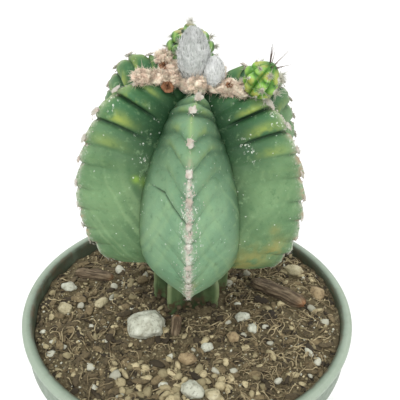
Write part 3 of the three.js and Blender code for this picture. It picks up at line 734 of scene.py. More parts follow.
def make_soil():
    edge = INNER_REACH - 0.15
    azimuths = np.arange(SOIL_SIDES) * (360 / SOIL_SIDES)
    top = around(np.linspace(1, edge, SOIL_ROWS)[:, None], azimuths[None], 0)
    top[..., 2] = crumbly_height(top[..., 0], top[..., 1])
    floor = FOOT_HEIGHT + WALL + 0.3
    collar = POT_HEIGHT - COLLAR_HEIGHT
    foot = FOOT_RADIUS - WALL
    below = [
        (edge, collar + 1.2), (SHOULDER_RADIUS - WALL - 0.3, collar - 1.4),
        (foot - 1.9, floor + 0.6), (foot - 2.7, floor), (12, floor),
    ]
    under = np.stack([around(radius, azimuths, height) for radius, height in below])
    shape = Shape()
    add_skin(shape, np.concatenate([top, under]))
    build("soil_crumbs", shape, soil_look(), ["soil"])


def clear_of_plant(x, y, space):
    """True where a crumb is off the stem and off the larger stones and bark."""
    free = np.hypot(x - PLANT[0], y - PLANT[1]) > STEM_REACH + space
    for _, _, (sx, sy), half, _ in STONES:
        free &= np.hypot(x - sx, y - sy) > max(half[:2]) * 0.75 + space
    for _, (bx, by), half, heading, pitch, _ in BARK:
        turn = math.radians(heading)
        along = (x - bx) * math.cos(turn) + (y - by) * math.sin(turn)
        across = (y - by) * math.cos(turn) - (x - bx) * math.sin(turn)
        length = half[0] * math.cos(math.radians(pitch))
        free &= (np.abs(along) > length + space) | (np.abs(across) > half[1] + space)
    return free


def scatter(count, rng, space):
    """Places on the soil, free of the stem and the stones."""
    reach = INNER_REACH - 0.8
    found = np.zeros((0, 2))
    while len(found) < count:
        spots = rng.uniform(-reach, reach, (count * 2, 2))
        inside = np.hypot(*spots.T) < reach - space
        found = np.concatenate([found, spots[inside & clear_of_plant(*spots.T, space)]])
    return found[:count]


def add_crumbs(shape, spots, sizes, level, flatness, rng, slim=(0.7, 1.35), lump=0.28):
    """Adds one rough lump at each spot of the soil, with its size drawn from a range."""
    points, faces = ball(level)
    count = len(spots)
    sizes = rng.uniform(*sizes, count)
    stretch = np.stack([rng.uniform(*span, count) for span in (slim, (0.6, 1.1), flatness)], axis=-1)
    headings, leans = rng.uniform(0, math.tau, count), rng.normal(0, 0.45, count)
    turns = np.array([Matrix.Rotation(heading, 3, "Z") @ Matrix.Rotation(lean, 3, "X")
                      for heading, lean in zip(headings, leans)])
    shifts = rng.uniform(0, 900, (count, 1, 3))
    lumps = 1 + lump * rough(points[None] + shifts, 0.9, 2, 31)
    local = points[None] * lumps[..., None] * stretch[:, None] * sizes[:, None, None]
    local = np.einsum("nij,npj->npi", turns, local)
    heights = crumbly_height(*spots.T) + sizes * stretch[:, 2] * STONE_RISE
    centres = np.concatenate([spots, heights[:, None]], axis=1)
    first = np.arange(count)[:, None, None] * len(points)
    tone = np.repeat(rng.uniform(0, 1, count), len(points))
    shape.add(local + centres[:, None], faces[None] + first, tone=tone)


def grain_look(name, dark, light, size=0.9):
    """Crumbs that differ in tone from one to the next."""
    look = Look(name, 0.9)
    look.tone = look.mix("tone", dark, light)
    look.coat(look.span(look.noise(size, 4, 0.7), 0.4, 0.7, 0, 0.6), dark)
    return look.done(look.bump(look.noise(size / 2, 4, 0.7), 0.15, 0.8))


def make_grit():
    """Flaky peat, sand, pale grains and fine chips over the soil."""
    rng = np.random.default_rng(11)
    peat, sand, pumice = Shape(), Shape(), Shape()
    add_crumbs(peat, scatter(720, rng, 0.5), (0.6, 1.5), 2, (0.16, 0.5), rng, slim=(0.8, 2.1))
    add_crumbs(peat, scatter(2300, rng, 0.2), (0.25, 0.7), 1, (0.25, 0.8), rng, slim=(0.8, 2))
    add_crumbs(sand, scatter(150, rng, 0.6), (0.7, 1.4), 2, (0.3, 0.7), rng, (0.8, 1.8), 0.4)
    add_crumbs(sand, scatter(1500, rng, 0.2), (0.22, 0.55), 1, (0.5, 1), rng)
    cluster = rng.normal((-2, -35), (9, 6), (130, 2))
    cluster = cluster[clear_of_plant(*cluster.T, 0.4) & (np.hypot(*cluster.T) < CRUMB_REACH)]
    add_crumbs(sand, cluster, (0.6, 1.7), 2, (0.5, 0.9), rng, lump=0.36)
    add_crumbs(pumice, scatter(56, rng, 1), (0.8, 1.6), 2, (0.35, 0.8), rng, lump=0.42)
    add_crumbs(pumice, scatter(420, rng, 0.2), (0.2, 0.5), 1, (0.5, 1), rng)
    build("soil_peat", peat, grain_look("peat", (46, 38, 26), (136, 120, 88)))
    build("soil_sand", sand, grain_look("sand", (120, 110, 80), (206, 192, 152)))
    build("soil_pumice", pumice, grain_look("pumice", (158, 156, 138), (208, 208, 190)))


def make_fibres():
    """Fine roots and bark threads that lie across the soil, thickest on the right."""
    rng = np.random.default_rng(12)
    shape = Shape()
    steps = 9
    for spot in scatter(1380, rng, 0.3):
        if rng.random() > 0.4 + 0.6 * smooth(-20, 20, spot[0]):
            continue
        length = rng.uniform(2, 8)
        heading = rng.uniform(0, math.tau)
        bend = rng.normal(0, 0.2)
        path = []
        x, y = spot
        for _ in range(steps):
            path.append((x, y))
            heading += bend + rng.normal(0, 0.22)
            x += math.cos(heading) * length / steps
            y += math.sin(heading) * length / steps
        path = np.array(path)
        if (np.hypot(*path.T) > FIBRE_REACH).any() or not clear_of_plant(*path.T, 0).all():
            continue
        arch = rng.uniform(0.1, 1.1) * np.sin(np.linspace(0, 3, steps))
        centres = np.column_stack([path, crumbly_height(*path.T) + 0.3 + arch])
        add_tube(shape, centres, np.linspace(0.2, 0.07, steps) * rng.uniform(0.6, 1.4), 4, tone=rng.random())
    build("soil_fibres", shape, grain_look("fibres", (96, 80, 54), (204, 188, 148)))


def add_tube(shape, centres, radii, sides, **marks):
    """Adds a closed tube along a path."""
    side, other = basis(unit(np.gradient(centres, axis=0)))
    angles = np.arange(sides)[None] * math.tau / sides
    rings = circle(centres[:, None], radii[:, None], angles, side[:, None], other[:, None])
    add_skin(shape, rings[::-1], **marks)


# Stones and bark

def stone_points(place, half, heading, seed, level):
    """The part's own pebble, with flattened faces and a rough surface."""
    points, faces = ball(level)
    rng = np.random.default_rng(seed + 400)
    x, y, z = points.T
    dents = 0.09 * np.sin(6 * y - seed) * np.cos(4 * z)
    lump = 1 + 0.1 * np.sin(5 * x + seed * 2.3) + dents
    shaped = points * lump[:, None]
    for normal in unit(rng.normal(size=(14, 3))):
        over = np.maximum(shaped @ normal - rng.uniform(0.84, 0.97), 0)
        shaped -= over[:, None] * normal * 0.85
    shaped *= (1 + 0.045 * rough(points + seed * 7, 0.5, 3, 21))[:, None]
    turn = Matrix.Rotation(math.radians(heading), 3, "Z")
    middle = [*place, soil_height(*place) + half[2] * STONE_RISE]
    return turned(shaped * half, turn) + middle, faces


def stone_look(name, low, middle, high):
    """Porous stone: three tones, small pits darkened with painted shade, and soil in its hollows."""
    look = Look(name, 0.85)
    lumps = look.noise(2.4, 4, 0.6)
    look.tone = look.mix(look.span(lumps, 0.3, 0.5), low, middle)
    look.coat(look.span(lumps, 0.5, 0.72), high)
    pits = look.span(look.cells(0.8), 0.32, 0.12)
    # Painted shade in the small pits.
    look.coat(pits, low, 0.45)
    look.coat(look.span(look.noise(1.6, 4, 0.7), 0.6, 0.75, 0, 0.6), (96, 76, 58))
    return look.done(look.bump(look.work("SUBTRACT", look.noise(0.5, 4), pits), 0.2, 0.9))


def make_stones():
    tones = {
        "white": [(150, 148, 130), (192, 194, 176), (216, 218, 202)],
        "cream": [(146, 136, 106), (184, 174, 140), (206, 198, 168)],
        "tan": [(118, 100, 74), (158, 138, 104), (184, 166, 130)],
    }
    for kind, shades in tones.items():
        shape = Shape()
        for seed, (_, its_kind, place, half, heading) in enumerate(STONES):
            if its_kind == kind:
                shape.add(*stone_points(place, half, heading, seed, 5 if half[0] > 5 else 4))
        names = [stone[0] for stone in STONES if stone[1] == kind]
        build("stones_" + kind, shape, stone_look("stone_" + kind, *shades), names)


def bark_look():
    look = Look("bark", 0.95)
    look.tone = look.mix(look.span("grain", -0.4, 0.1), (80, 67, 50), (112, 97, 76))
    look.coat(look.span("grain", 0.1, 0.8), (140, 124, 99))
    look.coat(look.span(look.noise(1.1, 5, 0.65), 0.5, 0.72, 0, 0.6), (80, 60, 44))
    look.coat("raw", (170, 112, 66), 0.6)
    return look.done(look.bump(look.noise(0.8, 5, 0.65), 0.4, 1.0))


def make_bark():
    """Splintered slabs: layered along their length, with torn ends."""
    shape = Shape()
    rows, sides = 90, 44
    share = np.linspace(1, -1, rows)[:, None]
    angle = np.arange(sides)[None] * math.tau / sides
    cos, sin = np.cos(angle), np.sin(angle)
    for seed, (_, place, half, heading, pitch, lift) in enumerate(BARK):
        grain = stacked(3 * cos, 3 * sin, share * half[0] / 7)
        broad = stacked(cos, sin, share * half[0] / 2.4)
        width = np.clip(1 - np.abs(share) ** 5, 0.08, 1) ** 0.5
        width = width * (0.92 + 0.16 * noise(broad, 1, seed + 50) + 0.17 * rough(grain, 0.7, 3, seed + 60))
        across = np.sign(cos) * np.abs(cos) ** 0.6 * half[1] * width
        up = np.sign(sin) * np.abs(sin) ** 0.6 * half[2] * width
        torn = share * half[0] * (1 - 0.16 * np.abs(noise(grain, 0.5, seed + 80)) * np.abs(share) ** 6)
        local = stacked(torn, across, up + 0.06 * half[0] * (1 - share**2))
        tilt = Matrix.Rotation(math.radians(heading), 3, "Z") @ Matrix.Rotation(-math.radians(pitch), 3, "Y")
        middle = [*place, soil_height(*place) + half[2] * STONE_RISE + lift]
        add_skin(shape, turned(local, tilt) + middle, grain=rough(grain, 0.5, 3, seed + 70),
                 raw=np.abs(share) ** 10 * (share > 0))
    build("bark_pieces", shape, bark_look(), [bark[0] for bark in BARK])


# Rootstock

def stock_share(height):
    heights, shares = zip(*STOCK_OUTLINE[::-1])
    return np.interp(height, heights, shares)


def stock_rib(azimuth):
    away = [np.abs((azimuth - rib + 540) % 360 - 180) / STOCK_RIB_SPREAD for rib in STOCK_RIB_AZIMUTHS]
    return np.exp(-1.6 * np.min(away, axis=0) ** 2)


def make_stock():
    heights = np.concatenate([np.linspace(STOCK_TOP, -5, 64), np.linspace(-6, -STOCK_BURIED, 10)])[:, None]
    azimuths = np.arange(STOCK_SIDES)[None] * (360 / STOCK_SIDES)
    rib = stock_rib(azimuths)
    ribbed = lerp(STOCK_VALLEY_RADIUS, STOCK_RIB_RADIUS, lerp(rib, rib**1.6, 0.5)) * stock_share(heights)
    radius = lerp(STOCK_ROOT_RADIUS, ribbed, smooth(-7, -4, heights))
    radius = radius * (1 - 0.25 * smooth(10, STOCK_BURIED, -heights))
    rings = around(radius, azimuths, heights)
    rings[..., :2] *= (1 + 0.22 * rough(rings, 4, 2, 91) / radius)[..., None]
    edge = smooth(0.86, 0.99, rib) * smooth(-6, 2, heights)
    dust = smooth(2.6, -0.5, heights + 1.2 * rough(rings, 3, 2, 93))
    shape = Shape()
    # Painted shade goes where the hollows between the ribs are.
    add_skin(shape, rings + PLANT, edge=edge, hollow=smooth(0.35, 0.02, rib), dust=dust)
    build("stock_stem", shape, stock_look(), ["rootstock"])

    rng = np.random.default_rng(14)
    clods = Shape()
    points, faces = ball(2)
    for _ in range(46):
        azimuth = rng.uniform(0, 360)
        height = rng.uniform(-4.5, -1)
        rib = stock_rib(np.array(azimuth))
        reach = lerp(STOCK_VALLEY_RADIUS, STOCK_RIB_RADIUS, rib) * stock_share(height)
        size = rng.uniform(0.5, 1.1)
        lump = lumpy(points, 0.3, 0.8, 2, 95, rng.uniform(0, 99, 3)) * size
        place = around(reach + 0.3 * size, azimuth, height) + PLANT
        clods.add(lump * [1, 1, 0.8] + place, faces, tone=rng.random())
    build("stock_clods", clods, grain_look("clods", (52, 44, 30), (112, 98, 72)))


# Scion

crest_curve = Outline(CREST)
valley_curve = Outline(VALLEY)
furrows = []
reached = FIRST_FURROW
while reached < crest_curve.length - LAST_SEGMENT:
    furrows.append(reached)
    reached += FURROW_STEP + SHOULDER_STEP * math.exp(-(((reached - SHOULDER_AT) / SHOULDER_SPREAD) ** 2))
EVEN_FURROWS = np.array([0, *furrows, crest_curve.length])
RIB_FURROWS = [
    np.array([0, *(at + 1.6 * (chance(rib * 31 + index) - 0.5) for index, at in enumerate(furrows)),
              crest_curve.length])
    for rib in range(len(RIBS))
]


def crest_point(rib, along):
    azimuth, reach, rise, turn, tip = RIBS[rib]
    radius, height = np.moveaxis(crest_curve.at_share(np.asarray(along) / crest_curve.length), -1, 0)
    turned_by = azimuth + turn * (1 - smooth(8, 26, radius))
    lift = rise * smooth(3, 12, radius) + tip * smooth(-34, -22, -height)
    return around(radius * reach, turned_by, height + lift)


def crest_frame(rib, along):
    """A point of a crest, and the directions down the crest, out of it and across it."""
    centre = crest_point(rib, along)
    down = crest_point(rib, along + 0.5) - crest_point(rib, along - 0.5)
    axis = unit(centre - SCION_MIDDLE)
    return centre, down, axis, unit(np.cross(down, axis))


def valley_point(rib, even):
    """A point of the valley that follows a rib."""
    after = (rib + 1) % len(RIBS)
    gap = (RIBS[after][0] - RIBS[rib][0]) % 360
    radius, height = np.moveaxis(valley_curve.at_share((even / crest_curve.length) ** 1.1), -1, 0)
    rise = (RIBS[rib][2] + RIBS[after][2]) / 2 * smooth(2, 10, radius)
    return around(radius, RIBS[rib][0] + gap / 2, height + rise)


def roll(place):
    return np.maximum(np.sin(np.pi * np.clip(place, 0, 1)), 0) ** 0.6


def furrow_depth(share, upper):
    flank = lerp(FURROW_DEPTH_LOW, FURROW_DEPTH_TOP, upper) * share**0.9
    return lerp(flank, NOTCH_DEPTH * smooth(0.7, 1, share), smooth(0.7, 1, share))


def crease_strength(rib, sign, index):
    faint = (0.12 if rib == FRONT_RIB else 0.3) + 0.35 * chance(rib * 57 + sign * 11 + index + 300)
    return STRONG_CREASES.get((rib, sign, index), faint)


def crust_share(rib, down):
    """How much of a rib's crest is under scurf: most of the front rib's, and the tips of the rest."""
    return smooth(0.38, 0.52, down) if rib == FRONT_RIB else 0.55 * smooth(0.12, 0.4, down)


def valley_shade(from_valley, width, down):
    """The dark of the valleys: broad near the crown, and a narrow line low down."""
    broad = bell(from_valley, 0.7 * width) * (1 - smooth(0.3, 0.66, down))
    narrow = bell(from_valley, 6) * lerp(0.9, 0.4, smooth(0.4, 0.9, down))
    return np.maximum(broad, narrow)


SHARES = 1 - (1 - np.linspace(0, 1, 41)) ** 1.22
BODY_ROWS = 188


def flank_grid(rib, sign, shares, evens):
    """One side of a rib: its points, and the numbers that its skin is coloured by."""
    front = rib == FRONT_RIB
    knots = RIB_FURROWS[rib]
    along = np.interp(evens, EVEN_FURROWS, knots)[:, None]
    crest = crest_point(rib, along[:, 0])
    before = valley_point((rib - 1) % len(RIBS), evens)
    after = valley_point(rib, evens)
    spine = unit(crest - (before + after) / 2)[:, None]
    across = unit(after - before)[:, None] * sign
    valley = after if sign > 0 else before
    shares = shares[None]
    share = shares[..., None]
    width = np.linalg.norm(crest - valley, axis=1)[:, None]
    from_crest = (1 - shares) * width
    from_valley = shares * width
    down = along / crest_curve.length
    high = 1 - smooth(0.26, 0.5, down)

    # Where each point lies between two furrows, which climb as creases away from the crest
    phase = along + CREASE_CLIMB[rib] * smooth(0.12, 0.4, down) * np.minimum(from_crest, 9)
    segment = np.clip(np.searchsorted(knots, phase, side="right") - 1, 0, len(knots) - 2)
    length = knots[segment + 1] - knots[segment]
    place = np.clip((phase - knots[segment]) / length, 0, 1)
    strengths = np.array([crease_strength(rib, sign, index) for index in range(len(knots) + 1)])
    strength = strengths[segment + (place > 0.5)]

    # The swollen flank
    crestward = smooth(0.86, 1, share)
    outward = unit(across * (1 - crestward) + spine * (0.8 * share + crestward))
    swell = FLANK_SWELL * share**2 * (1 - share) + VALLEY_SWELL * np.sqrt(share) * (1 - share) ** 2
    flank = lerp(valley[:, None], crest[:, None], share) + outward * swell * width[..., None]
    ground = flank + PLANT

    # Furrows, areoles, creases and rolls
    furrowed = smooth(2, 10, along) * (along < crest_curve.length - 0.01)
    at_shoulder = bell(from_crest - 5, 5) * furrowed
    lift = furrow_depth(shares, 1 - smooth(0.3, 0.7, down)) * furrowed * (roll(place) - 1)
    areole = bell((place - AREOLE_PLACE) * length, 1.6) * bell(from_crest, 1.3)
    lift = lift + AREOLE_HEIGHT * areole * furrowed
    reach = lerp(smooth(6, 2, from_crest), smooth(0.15, 0.5, shares), np.clip(strength - 0.5, 0, 1))
    to_furrow = np.minimum(place, 1 - place) * length
    slit = bell(to_furrow, lerp(0.34, 0.6, high)) * reach * furrowed * strength
    lift = lift - lerp(0.3, 0.75, high) * slit + 0.35 * (roll(place) - 0.6) * (1 - high) * at_shoulder
    if front:
        lift = lift + 0.7 * (np.sin(np.pi * place) - 0.6) * high * at_shoulder

    # Roughness, teeth and scurf
    lift = lift + 0.34 * rough(ground, 9, 2, 3) * smooth(0, 5, from_valley) + 0.08 * rough(ground, 2.2, 2, 4)
    tooth = noise(stacked(phase / 1.4, rib * 9.0, 0), 1, 6)
    scurf = crust_share(rib, down) * bell(from_crest, 1.2)
    lift = lift + 0.32 * tooth * bell(from_crest, 1.1) * furrowed + 0.16 * scurf * rough(ground, 0.9, 2, 5)
    flank = flank + outward * lift[..., None]

    streak = (shares + 1.9 * down + 0.05 * rough(ground, 8, 2, 8)) * 17
    lines = noise(stacked(streak, rib * 5.0 + sign, along * 0.03), 1, 9)
    # Painted highlight on the swelling of each roll, toward the crest.
    belly = smooth(0.25, 0.9, place) * smooth(1, 0.7, place) * bell(shares - 0.7, 0.2)
    scar = bell(from_crest, 1.3) * smooth(0.1, 0.6, tooth) * smooth(0.2, 0.5, down)
    marks = {
        # Painted light: the front rib paler, away from its valleys.
        "dusty": float(front) * smooth(0.05, 0.3, shares),
        "upper": high,
        # Painted shade in the valleys.
        "valley": valley_shade(from_valley, width, down),
        "belly": belly * (1 - smooth(0.3, 0.55, down)) * smooth(0.12, 0.2, down) * (0.45 if front else 1),
        "fan": smooth(0.1, 0.8, lines) * smooth(0.4, 0.62, down) * smooth(1.5, 6, from_crest),
        # Painted shade in the creases.
        "crease": np.clip(slit * 1.1, 0, 1),
        # Painted highlight along the crests.
        "keel": bell(from_crest, 1.7) * high * smooth(0.08, 0.2, down),
        "crust": np.clip(scurf * 1.3, 0, 1),
        "scar": scar * (0.4 if front else 1),
        "scurf": bell(from_crest, 2.8) * crust_share(rib, down),
    }
    return flank, {name: np.broadcast_to(values, place.shape) for name, values in marks.items()}


# Places on the scion, in the row frame: where white flecks gather, and where the skin is stained or limy
FLECK_SPOTS = [
    ((-12.9, -6.2, 150.1), 1.8), ((-12.9, -8.3, 145.2), 1.8), ((-12.3, -9.8, 141.5), 1.6),
    ((16.2, -7.2, 146.9), 2.2), ((15, -6.3, 149.6), 1.6), ((-9.7, -1.5, 157), 0.9),
    ((-9.1, -2.6, 154.4), 0.9), ((2.5, -8, 163), 2.4), ((-20.8, -4.5, 159.6), 1.8),
    ((22.2, -3.1, 158.8), 2.4), ((22.9, -4.1, 156.4), 2), ((0.8, -25.6, 142), 2),
    ((0.9, -26, 138), 2), ((1, -26, 134), 2.2), ((1.4, -26, 129), 2.2),
]
STAIN_SPOTS = [
    ((17.9, -11.1, 115.8), 6), ((15.1, -10.9, 114.1), 6), ((24.5, -11.1, 119), 4), ((23.9, -11.1, 126), 1.6),
    ((1.5, -24.6, 113), 3),
]
LIME_SPOTS = [((-12.5, -10.5, 140), 1.4), ((-14, -11.5, 141), 1)]


def near_spots(points, spots):
    near = [bell(np.linalg.norm(points - np.array(centre), axis=-1), size) for centre, size in spots]
    return np.max(near, axis=0)


def underside_ring(step):
    """A ring below the tips, with as many points as a ring of the flanks."""
    crest_radius, crest_height = [*UNDERSIDE_CREST, (GRAFT_RADIUS, GRAFT_HEIGHT)][step]
    valley_radius, valley_height = [*UNDERSIDE_VALLEY, (GRAFT_RADIUS, GRAFT_HEIGHT)][step]
    flat = smooth(GRAFT_RADIUS, 24, crest_radius)
    spread = np.interp(SHARES, [*FLANK_SAMPLES, 1], np.arange(len(FLANK_SAMPLES) + 1) / len(FLANK_SAMPLES))
    share = np.concatenate([spread, spread[-2:0:-1]])
    offset = np.concatenate([spread - 1, 1 - spread[-2:0:-1]])
    radius = lerp(valley_radius, crest_radius, share)
    height = lerp(valley_height, crest_height, share)
    ring = []
    for rib, (azimuth, _, rise, _, _) in enumerate(RIBS):
        before = (azimuth - RIBS[rib - 1][0]) % 360
        after = (RIBS[(rib + 1) % len(RIBS)][0] - azimuth) % 360
        turned_by = azimuth + offset * np.where(offset < 0, before, after) / 2
        ring.append(around(radius, turned_by, height + rise * flat * 0.5))
    return np.concatenate(ring)


def soften(grid, weight, passes):
    """Rounds the grid across its columns where weight is high."""
    for _ in range(passes):
        near = np.roll(grid, 1, 1) + np.roll(grid, -1, 1)
        far = np.roll(grid, 2, 1) + np.roll(grid, -2, 1)
        grid = lerp(grid, (2 * grid + 2 * near + far) / 8, weight[..., None])
    return grid


def make_body():
    evens = np.linspace(0, crest_curve.length, BODY_ROWS)
    columns, marks, edges = [], {}, []
    for rib in range(len(RIBS)):
        for sign, shares in ((-1, SHARES), (1, SHARES[-2:0:-1])):
            points, numbers = flank_grid(rib, sign, shares, evens)
            columns.append(points)
            for name, values in numbers.items():
                marks.setdefault(name, []).append(values)
            edge = bell((1 - shares) * 25, 1.3) + bell(shares * 25, 1.2)
            edges.append(np.broadcast_to(edge, points.shape[:2]))
    grid = soften(np.concatenate(columns, axis=1), np.clip(np.concatenate(edges, axis=1), 0, 1), 2)

    rings = [grid[-6], grid[-1]] + [underside_ring(step) for step in (0, 1, 2, 2)]
    rows = []
    for index in range(1, 4):
        past, a, b, beyond = rings[index - 1:index + 3]
        leaving = (b - a) * 0.6 + (a - past) * 0.4 if index == 1 else (b - past) / 2
        rows += [cubic(a, b, leaving, (beyond - a) / 2, part) for part in np.arange(1, 6) / 5]
    under = np.array(rows)
    under[:-1] += unit(under[:-1] - SCION_MIDDLE) * (0.25 * rough(under[:-1], 5, 3, 15))[..., None]
    whole = np.concatenate([grid, under]) + PLANT

    for name, chunks in marks.items():
        values = np.concatenate(chunks, axis=1)
        # The painted light of the front rib and the painted shade of the valleys go on over the underside.
        kept = values[-1:] * (name in ("dusty", "valley"))
        marks[name] = np.concatenate([values, np.repeat(kept, len(under), axis=0)])
    marks["fleck"] = np.clip(near_spots(whole, FLECK_SPOTS) + 0.45 * marks.pop("scurf"), 0, 1)
    marks["stain"] = near_spots(whole, STAIN_SPOTS)
    marks["lime"] = near_spots(whole, LIME_SPOTS)
    shape = Shape()
    add_skin(shape, whole, **marks)
    build("scion_skin", shape, skin_look(), ["cactus_body"])


def add_scurf(shape, rib, rng):
    """Small dry flakes along a crest, thick on the lower front rib."""
    points, faces = ball(1)
    for along in rng.uniform(0.12, 0.97, 640 if rib == FRONT_RIB else 200) * crest_curve.length:
        patchy = 0.75 + 0.7 * float(noise(np.array([along / 1.6, rib * 7.0, 0]), 1, 23))
        if rng.random() > crust_share(rib, along / crest_curve.length) * patchy + 0.05:
            continue
        centre, down, axis, side = crest_frame(rib, along)
        aside = rng.normal(0, 0.45 if rng.random() < 0.7 else 1.7)
        size = rng.uniform(0.14, 0.36) / (1 + 0.5 * abs(aside))
        stretch = [rng.uniform(0.7, 1.5), rng.uniform(0.7, 1.6), rng.uniform(0.3, 0.6)]
        place = centre + side * aside - axis * (0.15 + 0.48 * abs(aside)) + PLANT
        flake = framed(points * stretch * size, side, unit(down), axis) + place
        shape.add(flake, faces, tone=rng.uniform(0, 0.35), along=1)


def make_areoles():
    """Flat felt pads on the crests, each with a fringe of short hairs."""
    rng = np.random.default_rng(21)
    shape = Shape()
    points, faces = ball(3)
    count = 46
    for rib, knots in enumerate(RIB_FURROWS):
        for index in range(1, len(knots) - 1):
            along = lerp(knots[index], knots[index + 1], AREOLE_PLACE)
            centre, _, axis, side = crest_frame(rib, along)
            other = np.cross(axis, side)
            size = lerp(1.15, 0.8, smooth(0.15, 0.8, along / crest_curve.length)) * rng.uniform(0.8, 1.15)
            local = lumpy(points, 0.42, 0.6, 3, 22, rng.uniform(0, 99, 3)) * [0.85, 1.15, 0.26] * size
            base = centre + PLANT + axis * 0.1
            shape.add(framed(local, side, other, axis) + base, faces, tone=rng.uniform(0, 0.4), along=1)
            lean = framed(rng.normal(0, 1, (count, 2)) * [0.75, 1.1], side, other)
            lengths = rng.uniform(0.3, 0.8, count) * size
            add_strands(shape, base + lean * 0.5 * size, axis * 0.5 + lean, lengths, 0.14, 0.5, rng, 2,
                        tone=rng.uniform(0, 0.5, count))
        add_scurf(shape, rib, rng)
    look = felt_look("areole_felt", (204, 204, 192), (190, 178, 164), (142, 128, 108))
    build("areole_felt", shape, look)


def crest_along(radius):
    """How far along the crest a radius close to the crown lies."""
    along = 0
    while crest_curve.at_share(along / crest_curve.length)[0] < radius:
        along += 0.25
    return along


def make_wool():
    """Cottony tufts over the crown: knobbly lumps under short curly hairs."""
    rng = np.random.default_rng(31)
    shape = Shape()
    points, faces = ball(4)
    small, small_faces = ball(2)
    count = 620
    tufts = [(crest_point(rib, crest_along(distance)) + [0, 0, TUFT_RISE], radius)
             for rib, distance, radius in TUFTS]
    tufts.append((np.array([0, 0, CREST[0][1]]), CROWN_TUFT_RADIUS))
    for seed, (centre, radius) in enumerate(tufts):
        centre = centre + PLANT
        lump = 0.84 + 0.26 * rough(points + seed * 5.3, 0.6, 3, 32)
        local = points * lump[:, None] * radius * [1, 1, 0.8]
        hollow = bell(np.linalg.norm(local[:, :2], axis=1), radius * 0.35) * (points[:, 2] > 0)
        local[:, 2] -= hollow * radius * 0.3
        tone = 0.1 + 0.5 * rough(points + seed, 0.6, 2, 33) + hollow * 0.6 * (seed % 3 == 0)
        shape.add(local + centre, faces, tone=np.clip(tone, 0, 1), along=1)
        for knob in unit(rng.normal(size=(26, 3)) + [0, 0, 0.4]):
            size = radius * rng.uniform(0.1, 0.25)
            tuft = lumpy(small, 0.45, 0.5, 2, 34, rng.uniform(0, 99, 3)) * size
            place = centre + knob * radius * [0.84, 0.84, 0.66]
            shape.add(tuft + place, small_faces, tone=rng.uniform(0, 0.45), along=1)
        spots = unit(rng.normal(size=(count, 3)) + [0, 0, 0.5])
        clump = unit(spots + 0.5 * unit(np.round(spots * 2.2)))
        ways = unit(clump + rng.normal(0, 0.8, (count, 3)))
        roots = centre + spots * radius * [1, 1, 0.8] * 0.82
        lengths = rng.uniform(0.5, 1.1, count)
        add_strands(shape, roots, ways, lengths, 0.17, 0.8, rng, tone=rng.uniform(0, 0.35, count))
    look = felt_look("crown_wool", (240, 230, 206), (228, 202, 180), (150, 116, 86))
    build("crown_tufts", shape, look, ["crown_wool"])


# Dried flower remains in the wool: place on the plant, size and the way each opens
FLOWER_SCARS = [
    ((-6.8, -6.4, 71.8), 1.6, (0.1, -0.8, 0.6)), ((-8.2, 3.2, 74.2), 1.4, (-0.2, -0.5, 0.85)),
    ((13.6, -8.4, 72), 1.1, (0.1, -0.6, 0.8)), ((9.6, -6.8, 72.9), 0.9, (0, -0.6, 0.8)),
]


def make_flower_scars():
    """Shrivelled cups of brown petals where flowers have dropped."""
    rng = np.random.default_rng(41)
    shape = Shape()
    count = 26
    part = np.linspace(0, 1, 14)[:, None]
    angle = np.arange(40)[None] * math.tau / 40
    closing = smooth(0.62, 1, part)
    flare = np.sin(np.pi * np.clip(part * 1.15, 0, 1)) ** 0.7 * (1 - 0.45 * smooth(0.6, 1, part))
    for place, size, way in FLOWER_SCARS:
        axis = unit(way)
        side, other = basis(axis)
        centre = np.array(place) + PLANT
        crumple = 1 + 0.3 * noise(stacked(2 * np.cos(angle), 2 * np.sin(angle), part * 2 + size), 0.7, 42)
        radius = size * flare * crumple * (1 - 0.62 * closing) + 0.05
        height = size * (0.9 * part - 1.5 * closing * part)
        rings = circle(centre, radius, angle, side, other) + height[..., None] * axis
        add_skin(shape, rings[::-1], tone=part[::-1])
        ways = axis + framed(rng.normal(0, 0.6, (count, 2)), side, other)
        roots = np.tile(centre + axis * size * 0.4, (count, 1))
        lengths = rng.uniform(0.7, 1.3, count) * size
        add_strands(shape, roots, ways, lengths, 0.3, 0.5, rng, tone=rng.uniform(0, 1, count))
    build("flower_scars", shape, grain_look("dried_flower", (84, 54, 36), (176, 126, 88)))


# Flower buds

def bud_radius(bud, share):
    body = bud["radius"] * np.sin(np.pi * (0.06 + 0.82 * share**0.85)) ** 0.75
    return body * np.sqrt(1 - np.clip(share, 0, 1) ** 9 * 0.98)


